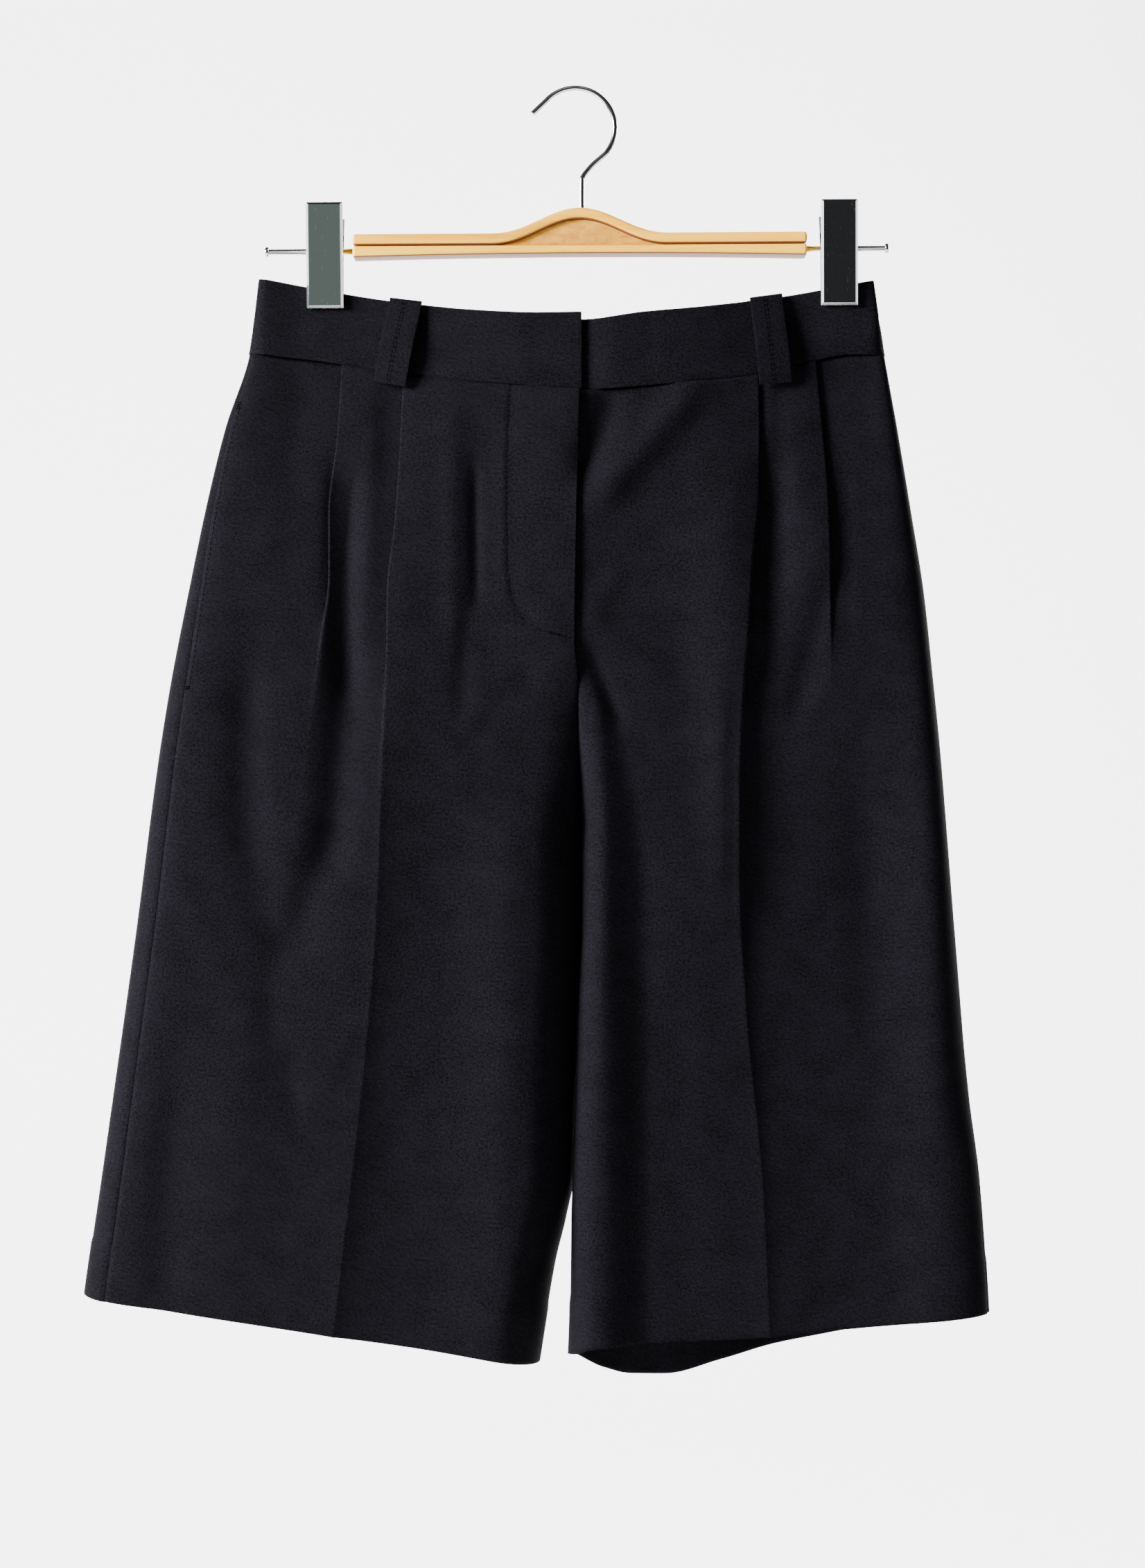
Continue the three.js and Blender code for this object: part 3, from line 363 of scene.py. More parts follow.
def valleyDrop(x, z):
    run = x - read(valley, "x", z)
    on = valleyOn["share"] * soft((run - valleyOn["start"]) / valleyOn["width"])
    back = valleyBack["share"] * soft((run - valleyBack["start"]) / valleyBack["width"])
    return read(valley, "drop", z) * (soft(run / read(valley, "fall", z)) + on - back)


def surfaceY(side, face, x, z):
    away = outwards(face)
    seamX, seamY = innerSeam(side, face, z)
    turned = turnIn(face, z)
    width = innerRound[face + side]
    inner = 1 - turned + turned * roundOff((x - seamX) * towards(side), width)
    run = np.clip((outlineX(side, z) - x) * towards(side) / sideWidth(z), 0, 1)
    power = sidePower[face + side] - softerLow[face + side] * soft((lowFrom - z) / lowOver)
    outer = (1 - (1 - run) ** power) ** (1 / power)
    height = foldHeight(face, x, z) + ripple(x, z, 1 if face == "front" else 4)
    if face == "front":
        height = height + creaseRise(side, x, z)
        if side == "right":
            height = height - valleyDrop(x, z)
    start = seamY * turned
    return outer * (start + away * inner * (halfDepth(face, x, z) - away * start + height))


def pleatRow(rows, z):
    return [read(rows, column, z) for column in ("x", "overlap", "drop", "open")]


# Shift and rise at a step from 0 to 9 over the fold edge, back under it and out again
def pleatPoint(step, overlap, drop, opened):
    turn = drop / 4
    back = np.maximum(overlap, 2 * turn)
    if step <= 4:
        angle = step / 4 * math.pi
        shift = turn * math.sin(angle) - turn
        rise = 0.75 * drop + turn * math.cos(angle)
    elif step < 5:
        shift = -turn - (step - 4) * (back - 2 * turn)
        rise = 0.5 * drop
    else:
        angle = (step - 5) / 4 * math.pi
        shift = turn - back - turn * math.sin(angle)
        rise = 0.25 * drop + turn * math.cos(angle)
    return (mix(shift, read(openPleat, "shift", step), opened),
            mix(rise, drop * read(openPleat, "rise", step), opened))


def ridgeRise(side, name, x, z):
    edgeX, overlap, drop, opened = pleatRow(pleats[side + name], z)
    away = (edgeX - x) * towards(side)
    start = mix(overlap + 2, 2, opened)
    return np.where(away < 0, 0, drop * bump(np.maximum(0, away - start), ridgeFade[name]))


flyPath = [(-38, -178.5), (-39.4, -200), (-40, -240), (-39.9, -270), (-39.6, -286), (-37.6, -300),
           (-33.2, -311), (-26.5, -318), (-18.5, -321.6), (-11.5, -323), (-1.5, -326)]


# Sunk line that the fly's stitches pull into the cloth, steep outside and slow inside
groove = {"deep": 0.5, "inside": 6.5, "outside": 0.9}


def flyGroove(x, z):
    nearest = np.full(np.shape(x), 1e9)
    inside = np.zeros(np.shape(x), bool)
    for (x0, z0), (x1, z1) in zip(flyPath, flyPath[1:]):
        runX, runZ = x1 - x0, z1 - z0
        t = np.clip(((x - x0) * runX + (z - z0) * runZ) / (runX**2 + runZ**2), 0, 1)
        away = np.hypot(x - mix(x0, x1, t), z - mix(z0, z1, t))
        turned = runX * (z - z0) - runZ * (x - x0) > 0
        inside = np.where(away < nearest, turned, inside)
        nearest = np.minimum(nearest, away)
    return groove["deep"] * bump(nearest, np.where(inside, groove["inside"], groove["outside"]))


# One column of a panel, from its place across as a function of the height
def columnPoints(side, face, place, depthAt):
    top = -165.0  # first guesses
    hem = -730.0
    for turn in range(passes):
        top = read(waistSeam, "z", place(top)) - seamGap / 2
        hem = read(hems[face + side], "z", place(hem))
    z = mix(top, hem, panelShares)
    x = place(z)
    return np.stack([x, depthAt(x, z), z], axis=-1)


def seamAngle(side, z):
    return np.radians(read(sideSeam, side, z))


def seamTrim(side, z):
    angle = seamAngle(side, z)
    width = sideWidth(z) * np.sin(angle)
    deep = halfDepth("front", outlineX(side, z), z) * np.cos(angle)
    return 0.75 * seamGap / np.hypot(width, deep)


# Columns that share out the cloth between two lines
def columnsBetween(side, face, start, end, parts, depthAt):
    def column(part):
        return columnPoints(side, face, lambda z: mix(start(z), end(z), part), depthAt)
    return [column(part) for part in parts]


# Lines where a panel starts, where its inner turn ends and where its outer edge rounds off
def panelLines(side, face):
    s = towards(side)

    def edge(z):
        return innerSeam(side, face, z)[0]

    def turnEnd(z):
        return edge(z) + s * innerTurn

    def roundStart(z):
        return outlineX(side, z) - s * sideWidth(z)

    return edge, turnEnd, roundStart


# The cloth dips into the side seam, and the back's edge runs on under the front's
seamTurn = {"deep": 0.7, "wide": 1.6, "tuck": 1.1, "under": 2, "middle": 30, "crowding": 1.35}


# Columns round the side edge, ending at the side seam
def sideColumns(side, face):
    start = -math.pi / 2 if face == "front" else math.pi / 2
    columns = []
    for part in 1 - (1 - np.linspace(0, 1, sideCounts[face])) ** seamTurn["crowding"]:
        def angleAt(z):
            trim = seamTrim(side, z) * outwards(face)
            return mix(start, seamAngle(side, z) + trim, part)

        def place(z):
            return outlineX(side, z) - towards(side) * sideWidth(z) * (1 - np.cos(angleAt(z)))

        def depthAt(x, z):
            front = surfaceY(side, "front", x, z)
            back = surfaceY(side, "back", x, z)
            return np.where(angleAt(z) < 0, front, back)

        columns.append(columnPoints(side, face, place, depthAt))
    grid = np.stack(columns, axis=1)
    toSeam = arc(grid[:, ::-1], 1)[:, ::-1]
    middleLine = outlineX(side, grid[..., 2]) - towards(side) * seamTurn["middle"]
    inwards = np.stack([middleLine, 0 * toSeam, grid[..., 2]], axis=-1) - grid
    inwards /= np.linalg.norm(inwards, axis=2, keepdims=True)
    grid = grid + inwards * (seamTurn["deep"] * bump(toSeam, seamTurn["wide"]))[..., None]
    if face == "front":
        return grid
    along = grid[:, -1] - grid[:, -2]
    along /= np.linalg.norm(along, axis=1, keepdims=True)
    tucked = grid[:, -1] + inwards[:, -1] * seamTurn["tuck"]
    under = np.stack([tucked, tucked + along * seamTurn["under"]], axis=1)
    return np.concatenate([grid, under], axis=1)


def panelGrid(side, face, columns):
    return np.concatenate([np.stack(columns, axis=1), sideColumns(side, face)], axis=1)


def frontPanel(side):
    s = towards(side)
    edge, turnEnd, roundStart = panelLines(side, "front")

    # A line beside a pleat: so far from its fold, or from its ridge where the pleat has opened
    def beside(name, way, folded, plain):
        def at(z):
            x, overlap, drop, opened = pleatRow(pleats[side + name], z)
            start = overlap + folded if way < 0 else folded
            return x + way * s * mix(start, plain, opened)
        return at

    def depthWith(ridges, fold=None):
        def depthAt(x, z):
            rise = sum(ridgeRise(side, name, x, z) for name in ridges)
            rise = rise + (fold(z) if fold else 0)
            if side == "left":
                fade = soft((z - flyEndZ + 40) / 30)
                rise = rise + flyProud * fade * bump(x - edge(z), flyWidth) - flyGroove(x, z)
            return surfaceY(side, "front", x, z) - rise
        return depthAt

    def plainRun(start, end, parts, *ridges):
        return columnsBetween(side, "front", start, end, parts, depthWith(ridges))

    def foldRun(name, *ridges):
        rows = pleats[side + name]
        columns = []
        for step in [*np.linspace(0, 4, 11), 4.35, 4.7, *np.linspace(5, 9, 11)]:
            def place(z):
                x, *shape = pleatRow(rows, z)
                return x + s * pleatPoint(step, *shape)[0]

            def fold(z):
                return pleatPoint(step, *pleatRow(rows, z)[1:])[1]
            columns.append(columnPoints(side, "front", place, depthWith(ridges, fold)))
        return columns

    columns = plainRun(edge, turnEnd, edgeParts, "Inner")
    columns += plainRun(turnEnd, beside("Inner", -1, 5, 9), np.linspace(0, 1, 56)[1:], "Inner")
    columns += foldRun("Inner", "Outer")
    columns += plainRun(
        beside("Inner", 1, 3, 19), beside("Outer", -1, 3, 7), np.linspace(0, 1, 9), "Outer")
    columns += foldRun("Outer")
    columns += plainRun(beside("Outer", 1, 3, 18), roundStart, np.linspace(0, 1, 14)[:-1])
    return panelGrid(side, "front", columns)


def backPanel(side):
    edge, turnEnd, roundStart = panelLines(side, "back")
    parts = np.linspace(0, 1, 68)[1:-1]

    def depthAt(x, z):
        return surfaceY(side, "back", x, z)

    columns = columnsBetween(side, "back", edge, turnEnd, edgeParts, depthAt)
    columns += columnsBetween(side, "back", turnEnd, roundStart, parts, depthAt)
    return panelGrid(side, "back", columns)


# Waistband, from its top edge to the waist seam
bandWall = 2.3
bandStep = 2.2
bandRows = 24
bandDeep = 46
bandDip = {"deep": 0.5, "wide": 1.4}  # the lower edge dips into the waist seam


def bandLift(z):
    return bandOut * soft((jawZ - z) / 20)


def bandGrid(face, start, end, shift, topShift):
    low = outlineX("left", bandTopZ) + sideWidth(bandTopZ) if start is None else start
    high = outlineX("right", bandTopZ) - sideWidth(bandTopZ) if end is None else end
    turns = np.linspace(0, 1, 12)[:-1]
    places = [("left", share) for share in turns] if start is None else []
    places += [(None, x) for x in np.linspace(low, high, int((high - low) / bandStep))]
    if end is None:
        places += [("right", share) for share in turns[::-1]]
    shares = np.linspace(0, 1, bandRows)
    columns = []
    for side, value in places:
        def across(z):
            if side is None:
                return value + 0 * z
            turned = sideWidth(z) * (1 - math.cos(value * math.pi / 2))
            return outlineX(side, z) - towards(side) * turned
        z = np.full(bandRows, float(jawZ))
        for turn in range(passes):
            top = read(waistTop, "z", across(z)) + (topShift(across(z)) if topShift else 0)
            seam = read(waistSeam, "z", across(z)) + seamGap / 2
            z = mix(top, seam, shares)
        x = across(z)
        half = side or ("left" if value < middleX else "right")
        rounded = roundOff(abs(outlineX(half, z) - x), sideWidth(z))
        rolled = bandDip["deep"] * bump((1 - shares) * bandDeep, bandDip["wide"])
        height = foldHeight("band", x, z) * (1 - pressed(x)) + 0.3 * ripple(x, z, 7) - rolled
        y = outwards(face) * (halfDepth(face, x, z) + bandLift(z) + height) * rounded
        clear = outwards(face) * 1.5 * seamGap if side and value == 0 else 0
        y = y + clear + (shift(x) if shift else 0)
        columns.append(np.stack([x, y, z], axis=-1))
    return np.stack(columns, axis=1)


# A belt loop in side view: share of the way down, height over that place, and how far out
loopPath = table(
    "step down up out",
    (0, 0, 1.25, 0.2), (1, 0, 1.15, 2.6), (2, 0, 0.2, 3.3), (3, 0.12, 0, 4.4), (4, 0.35, 0, 6.4),
    (5, 0.6, 0, 7.4), (6, 0.82, 0, 6.8), (7, 0.95, 0, 5.2), (8, 1, 0, 4.2),
)
loopWidth = 19
loopBelowSeam = 7.5


def loopGrid(face, topX, lowX, columns, rows):
    topZ = read(waistTop, "z", topX)
    lowZ = read(waistSeam, "z", lowX) - loopBelowSeam
    tilt = math.atan2(lowX - topX, topZ - lowZ)
    slope = (read(waistTop, "z", topX + 5) - read(waistTop, "z", topX - 5)) / 10
    steps = np.linspace(0, 8, rows)[:, None]
    down = read(loopPath, "down", steps)
    out = read(loopPath, "out", steps)
    across = (np.linspace(0, 1, columns)[None, :] - 0.5) * loopWidth
    x = mix(topX, lowX, down) + across * math.cos(tilt)
    lean = np.where(steps < 2.5, slope, math.sin(tilt))
    z = mix(topZ, lowZ, down) + read(loopPath, "up", steps) + across * lean
    edges = 0.25 * (2 * abs(across) / loopWidth) ** 4
    y = outwards(face) * (halfDepth(face, x, z) + out + bandLift(z) - edges)
    return np.stack([x, y, z], axis=-1)


# Meshes
def addObject(name, data):
    placed = bpy.data.objects.new(name, data)
    bpy.context.scene.collection.objects.link(placed)
    return placed


def newObject(name, bm, material):
    mesh = bpy.data.meshes.new(name)
    bm.to_mesh(mesh)
    bm.free()
    mesh.shade_smooth()
    mesh.materials.append(material)
    return addObject(name, mesh)


# A grid whose points are moved to rows and columns of places, in metres
def gridMesh(points):
    rows, columns = points.shape[:2]
    bm = bmesh.new()
    bmesh.ops.create_grid(bm, x_segments=columns - 1, y_segments=rows - 1, size=1)
    bm.verts.ensure_lookup_table()
    for vertex, point in zip(bm.verts, points.reshape(-1, 3)):
        vertex.co = point
    return bm


# The CAD node that a piece of this name stands for
def nodeName(name):
    return "".join("_" + letter.lower() if letter.isupper() else letter for letter in name)


def settle(piece, node=None):
    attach(piece, "root")
    if node:
        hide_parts(node)
    return piece


def arc(grid, axis):
    steps = np.linalg.norm(np.diff(grid, axis=axis), axis=2)
    pad = np.zeros_like(np.take(steps, [0], axis=axis))
    return np.concatenate([pad, np.cumsum(steps, axis=axis)], axis=axis)


# Hem allowance inside the legs, where the wall is thicker by the share that hem gives
hemDeep = 34
hemFade = 4


# A wall of cloth from a grid of its middle points, with its own run of cloth as the UV map
def clothPiece(name, grid, wall, material, hem=1, way=1):
    bm = gridMesh(grid * metre)
    across = arc(grid, 1).reshape(-1) * metre * way
    down = arc(grid, 0).reshape(-1) * metre
    layer = bm.loops.layers.uv.new("cloth")
    for face in bm.faces:
        for loop in face.loops:
            k = loop.vert.index
            loop[layer].uv = (across[k], down[k])
    piece = newObject(name, bm, material)
    shell = piece.modifiers.new("wall", "SOLIDIFY")
    shell.thickness = wall * hem * metre
    shell.offset = 0
    if hem > 1:
        group = piece.vertex_groups.new(name="layers")
        toHem = (arc(grid, 0)[-1:] - arc(grid, 0)).reshape(-1)
        share = 1 / hem + (1 - 1 / hem) * soft((hemDeep - toHem) / hemFade)
        for k, weight in enumerate(share):
            group.add([k], float(weight), "REPLACE")
        shell.vertex_group = group.name
    return settle(piece, nodeName(name))


def gridNormals(grid):
    normal = np.cross(np.gradient(grid, axis=1), np.gradient(grid, axis=0))
    return normal / np.linalg.norm(normal, axis=2, keepdims=True)


# Points of a grid nearest to places given as x and z, with the way out of the cloth; where the
# cloth is folded double, the layer in front counts
def onGrid(grid, places):
    flat = grid.reshape(-1, 3)
    normals = gridNormals(grid).reshape(-1, 3)
    points = []
    ways = []
    for x, z in places:
        k = np.argmin((flat[:, 0] - x) ** 2 + (flat[:, 2] - z) ** 2 + 0.02 * (flat[:, 1] + 40) ** 2)
        way = normals[k] * -np.sign(normals[k][1])
        rest = way[0] * (x - flat[k][0]) + way[2] * (z - flat[k][2])
        points.append([x, flat[k][1] - rest / way[1], z])
        ways.append(way)
    return np.array(points), np.array(ways)


# Stitches along points, each a small closed bead lying on the cloth
def addStitches(bm, points, ways, stitch):
    runs = np.concatenate([[0], np.cumsum(np.linalg.norm(np.diff(points, axis=0), axis=1))])
    count = max(1, int(runs[-1] / (stitch["length"] + stitch["gap"])))
    pitch = runs[-1] / count
    for k in range(count):
        ends = (k + 0.5) * pitch + np.array([-0.5, 0.5]) * stitch["length"]
        a, b = [np.array([np.interp(run, runs, points[:, i]) for i in range(3)]) for run in ends]
        way = Vector([np.interp(ends.mean(), runs, ways[:, i]) for i in range(3)]).normalized()
        along = Vector(b - a).normalized()
        side = way.cross(along).normalized()
        way = along.cross(side)
        centre = Vector((a + b) / 2) + way * stitch["out"]
        half = [stitch[key] / 2 for key in ("length", "width", "height")]
        turn = Matrix((along, side, way)).transposed().to_4x4()
        size = Matrix.Diagonal((*half, 1))
        place = Matrix.Scale(metre, 4) @ Matrix.Translation(centre) @ turn @ size
        bmesh.ops.create_uvsphere(bm, u_segments=6, v_segments=5, radius=1, matrix=place)


# A closed bar from rings of points
def tubePiece(name, rings, material):
    bm = gridMesh(np.concatenate([rings, rings[:, :1]], axis=1) * metre)
    bmesh.ops.remove_doubles(bm, verts=bm.verts, dist=1e-7)
    rims = [edge for edge in bm.edges if edge.is_boundary]
    bmesh.ops.holes_fill(bm, edges=rims)
    bmesh.ops.recalc_face_normals(bm, faces=bm.faces)
    return newObject(name, bm, material)


def softenEdges(piece, width, segments, angle=40):
    bevel = piece.modifiers.new("edges", "BEVEL")
    bevel.width = width * metre
    bevel.segments = segments
    bevel.limit_method = "ANGLE"
    bevel.angle_limit = math.radians(angle)


# Materials
def newMaterial(name):
    material = bpy.data.materials.new(name)
    material.use_nodes = True
    tree = material.node_tree
    return material, tree, tree.nodes["Principled BSDF"]


def addNode(tree, kind, inputs=(), **settings):
    made = tree.nodes.new(kind)
    for key, value in settings.items():
        setattr(made, key, value)
    for key, value in dict(inputs).items():
        if isinstance(value, bpy.types.NodeSocket):
            tree.links.new(value, made.inputs[key])
        else:
            made.inputs[key].default_value = value
    return made.outputs


def ramp(tree, factor, stops):
    made = tree.nodes.new("ShaderNodeValToRGB")
    tree.links.new(factor, made.inputs[0])
    elements = made.color_ramp.elements
    while len(elements) < len(stops):
        elements.new(0.5)
    for element, (position, colour) in zip(elements, stops):
        element.position = position
        element.color = (*colour, 1)
    return made.outputs["Color"]


def setInputs(shader, values):
    for name, value in values.items():
        shader.inputs[name].default_value = value


def noise(tree, place, scale, detail, **more):
    inputs = {"Vector": place, "Scale": scale, "Detail": detail, **more}
    return addNode(tree, "ShaderNodeTexNoise", inputs)["Fac"]


def calculate(tree, operation, *values):
    return addNode(tree, "ShaderNodeMath", dict(enumerate(values)), operation=operation)[0]


def addBump(tree, shader, height, strength, distance):
    inputs = {"Height": height, "Strength": strength, "Distance": distance}
    tree.links.new(addNode(tree, "ShaderNodeBump", inputs)[0], shader.inputs["Normal"])


# Wool twill: slanting ribs that follow the cloth, flecked yarn and faint clouds
cloth = {
    "stops": [(0.38, (0.0005, 0.0005, 0.0008)), (0.94, (0.0076, 0.0069, 0.01))],
    "threadScale": 1900.0, "fleckScale": 720.0, "cloudScale": 60.0,
    "fleck": 1.15, "cloud": 0.3, "rib": 0.07,
    "bump": 0.7, "relief": 0.00016,
}


def clothMaterial(name, ribs):
    material, tree, shader = newMaterial(name)
    uv = addNode(tree, "ShaderNodeUVMap", uv_map="cloth")[0]
    inputs = {0: uv, 1: (*ribs, 0)}
    rib = addNode(tree, "ShaderNodeVectorMath", inputs, operation="DOT_PRODUCT")["Value"]
    wave = calculate(tree, "SINE", rib)
    thread = noise(tree, uv, cloth["threadScale"], 2.0)
    cloud = noise(tree, uv, cloth["cloudScale"], 4.0)
    fleck = noise(tree, uv, cloth["fleckScale"], 4.0)
    coarse = calculate(tree, "MULTIPLY_ADD", fleck, cloth["fleck"], -cloth["fleck"] / 2)
    mixed = calculate(tree, "ADD", thread, coarse)
    lined = calculate(tree, "MULTIPLY_ADD", wave, cloth["rib"], mixed)
    both = calculate(tree, "MULTIPLY_ADD", cloud, cloth["cloud"], lined)
    tree.links.new(ramp(tree, both, cloth["stops"]), shader.inputs["Base Color"])
    height = calculate(tree, "MULTIPLY_ADD", wave, 0.5, thread)
    addBump(tree, shader, height, cloth["bump"], cloth["relief"])
    setInputs(shader, {
        "Roughness": 0.82, "Specular IOR Level": 0.03, "Sheen Weight": 0.006,
        "Sheen Roughness": 0.45, "Sheen Tint": (0.55, 0.6, 0.85, 1)})
    return material


def threadMaterial(name, colour):
    material, tree, shader = newMaterial(name)
    place = addNode(tree, "ShaderNodeTexCoord")["Object"]
    fibre = noise(tree, place, 4000.0, 2.0)
    lighter = tuple(1.6 * value for value in colour)
    tree.links.new(ramp(tree, fibre, [(0.3, colour), (0.8, lighter)]), shader.inputs["Base Color"])
    setInputs(shader, {"Roughness": 0.9, "Specular IOR Level": 0.02})
    return material


# Wood with grain along X, in object coordinates, with painted shade on its underside
woods = {
    "upper": {
        "colours": [(0.68, 0.3, 0.01), (0.9, 0.43, 0.015), (0.96, 0.5, 0.03)],
        "stretch": 0.06, "scale": 140.0, "offset": (0.0, 0.0, 0.0), "roughness": 0.42,
    },
    "lower": {
        "colours": [(0.78, 0.38, 0.01), (0.97, 0.51, 0.02), (1.0, 0.6, 0.05)],
        "stretch": 0.06, "scale": 140.0, "offset": (0.4, 0.1, 0.2), "roughness": 0.42,
    },
    "insert": {
        "colours": [(0.44, 0.19, 0.02), (0.58, 0.27, 0.03), (0.7, 0.35, 0.05)],
        "stretch": 0.5, "scale": 260.0, "offset": (0.1, 0.3, 0.2), "roughness": 0.6,
    },
}
woodStops = (0.3, 0.52, 0.75)
paintedUnderShade = (0.2, 0.07, 0.02, 1.0)


def woodMaterial(name, wood):
    material, tree, shader = newMaterial("wood" + name.capitalize())
    place = addNode(tree, "ShaderNodeTexCoord")["Object"]
    inputs = {"Vector": place, "Location": wood["offset"], "Scale": (wood["stretch"], 1.0, 1.0)}
    mapped = addNode(tree, "ShaderNodeMapping", inputs)[0]
    broad = noise(tree, mapped, wood["scale"], 6.0, Distortion=0.6)
    fine = noise(tree, mapped, wood["scale"] * 9, 3.0, Roughness=0.7)
    grain = calculate(tree, "ADD", broad, calculate(tree, "MULTIPLY_ADD", fine, 0.35, -0.17))
    facing = addNode(tree, "ShaderNodeNewGeometry")["True Normal"]
    rise = addNode(tree, "ShaderNodeSeparateXYZ", {0: facing})["Z"]
    # Painted shade: faces that point down take a dark brown colour in place of the wood's, standing
    # in for the shade under the bar
    below = calculate(tree, "LESS_THAN", rise, -0.6)
    plain = ramp(tree, grain, list(zip(woodStops, wood["colours"])))
    shadedColour = addNode(
        tree, "ShaderNodeMix", {0: below, 6: plain, 7: paintedUnderShade}, data_type="RGBA")[2]
    tree.links.new(shadedColour, shader.inputs["Base Color"])
    addBump(tree, shader, grain, 0.25, 0.0002)
    setInputs(shader, {
        "Roughness": wood["roughness"], "Specular IOR Level": 0.15, "Coat Weight": 0.02,
        "Coat Roughness": 0.25})
    return material


# Chrome with fine scratches that run at two slants
scratch = {"slants": (0.5, -0.9), "stretch": 0.035, "scale": 3600.0, "least": 0.74}


def chromeMaterial(name, colour, roughness, scratches):
    material, tree, shader = newMaterial(name)
    place = addNode(tree, "ShaderNodeTexCoord")["Object"]
    marks = []
    for slant in scratch["slants"]:
        inputs = {
            "Vector": place, "Rotation": (0.0, slant, 0.0), "Scale": (1.0, 1.0, scratch["stretch"])}
        mapped = addNode(tree, "ShaderNodeMapping", inputs)[0]
        fine = noise(tree, mapped, scratch["scale"], 2.0)
        marks.append(calculate(tree, "GREATER_THAN", fine, scratch["least"]))
    lines = calculate(tree, "MAXIMUM", *marks)
    rough = calculate(tree, "MULTIPLY_ADD", lines, scratches, roughness)
    tree.links.new(rough, shader.inputs["Roughness"])
    setInputs(shader, {"Base Color": (*colour, 1), "Metallic": 1.0})
    return material


clothLook = clothMaterial("navyTwill", (3.6e3, -5.2e3))
bandLook = clothMaterial("navyTwillBand", (3.2e3, -5.6e3))
threadLook = threadMaterial("navyThread", (0.0003, 0.0003, 0.0005))
woodLook = {name: woodMaterial(name, wood) for name, wood in woods.items()}
chromeLook = chromeMaterial("chrome", (0.74, 0.76, 0.77), 0.07, 0.25)
wireLook = chromeMaterial("wire", (0.68, 0.69, 0.7), 0.14, 0.1)
print("stage: materials made")

# Cloth panels
panelWall = 1.0
hemTimes = 1.9
sheets = {
    "frontleft": {"name": "frontPanelLeft", "flat": (0.33, 0.6), "area": 0.155},
    "frontright": {"name": "frontPanelRight", "flat": (0.32, 0.6), "area": 0.145},
    "backleft": {"name": "backPanelLeft", "flat": (0.33, 0.62), "area": 0.165},
    "backright": {"name": "backPanelRight", "flat": (0.3, 0.62), "area": 0.145},
}
grids = {}
for key, sheet in sheets.items():
    side = "left" if key.endswith("left") else "right"
    grids[key] = frontPanel(side) if key.startswith("front") else backPanel(side)
    clothPiece(
        sheet["name"], grids[key], panelWall, clothLook, hemTimes, towards(side))
print("stage: panels made")


# The right end of the waistband passes behind the left one, which sits a little higher
def behind(x):
    return 3 * soft((lapX + 22 - x) / 24)


def lapRise(x):
    return 1.8 * soft((x + 40) / 44)


def underlapDrop(x):
    return -2.4 * soft((44 - x) / 38)


bands = {
    "frontleft": {
        "name": "waistbandFrontLeft", "flat": (0.2, 0.045), "rests": ["clipFrontLeft"],
        "shape": ("front", None, lapX, None, lapRise),
    },
    "frontright": {
        "name": "waistbandFrontRight", "flat": (0.22, 0.045), "rests": ["clipFrontRight"],
        "shape": ("front", lapX - bandUnderlap, None, behind, underlapDrop),
    },
    "back": {
        "name": "waistbandBack", "flat": (0.38, 0.045),
        "rests": ["clip_left_back_plate", "clip_right_back_plate"],
        "shape": ("back", None, None, None, None),
    },
}
bandPieces = {}
for key, band in bands.items():
    bandPieces[key] = clothPiece(band["name"], bandGrid(*band["shape"]), bandWall, bandLook)
    softenEdges(bandPieces[key], 0.7, 2)

# Belt loops
loops = [
    {"name": "beltLoopFrontLeft", "band": "frontleft", "topX": -99.8, "lowX": -108.8},
    {"name": "beltLoopFrontRight", "band": "frontright", "topX": 112.5, "lowX": 117.4},
    {"name": "beltLoopBackLeft", "band": "back", "topX": -94, "lowX": -98},
    {"name": "beltLoopBackCentre", "band": "back", "topX": middleX, "lowX": middleX},
    {"name": "beltLoopBackRight", "band": "back", "topX": 100, "lowX": 104},
]
loopWall = 1.5
for loop in loops:
    loop["face"] = "back" if loop["band"] == "back" else "front"
    loop["grid"] = loopGrid(loop["face"], loop["topX"], loop["lowX"], 25, 60)
    loop["pieces"] = [clothPiece(loop["name"], loop["grid"], loopWall, bandLook)]
    softenEdges(loop["pieces"][0], 0.5, 2)
print("stage: waistband and loops made")

# Stitches
stitch = {"length": 2.6, "gap": 0.4, "width": 0.62, "height": 0.3, "out": 0.48}


def stitchPiece(name, runs, kind):
    bm = bmesh.new()
    for points, ways in runs:
        addStitches(bm, points, ways, kind)
    return settle(newObject(name, bm, threadLook))


# Points a given way in from the side seam, between two heights
def alongSeam(grid, inset, highZ, lowZ):
    reverse = grid[:, ::-1]
    runs = arc(reverse, 1)
    normals = gridNormals(grid)[:, ::-1]
    points = []
    ways = []
    for row, run, way in zip(reverse, runs, normals):
        point = [np.interp(inset, run, row[:, i]) for i in range(3)]
        if lowZ < point[2] < highZ:
            out = np.array([np.interp(inset, run, way[:, i]) for i in range(3)])
            points.append(point)
            ways.append(out * -np.sign(out[1]))
    return np.array(points), np.array(ways)


pocket = {
    "inset": 3.2, "top": -186, "low": -356,
    "tackInsets": (0.8, 1.4, 2, 2.6), "tackZ": (-188, -355), "tackHalf": 2.7,
}
onPanels = {key: [] for key in sheets}
for side in ("left", "right"):
    run = alongSeam(grids["front" + side], pocket["inset"], pocket["top"], pocket["low"])
    onPanels["front" + side].append(
        stitchPiece("pocketStitch" + side.capitalize(), [run], stitch))

flyRuns = np.linspace(0, len(flyPath) - 1, 140)
flyCurve = np.stack([np.interp(flyRuns, range(len(flyPath)), line) for line in zip(*flyPath)], 1)
flyStitch = stitchPiece("flyStitch", [onGrid(grids["frontleft"], flyCurve)], stitch)

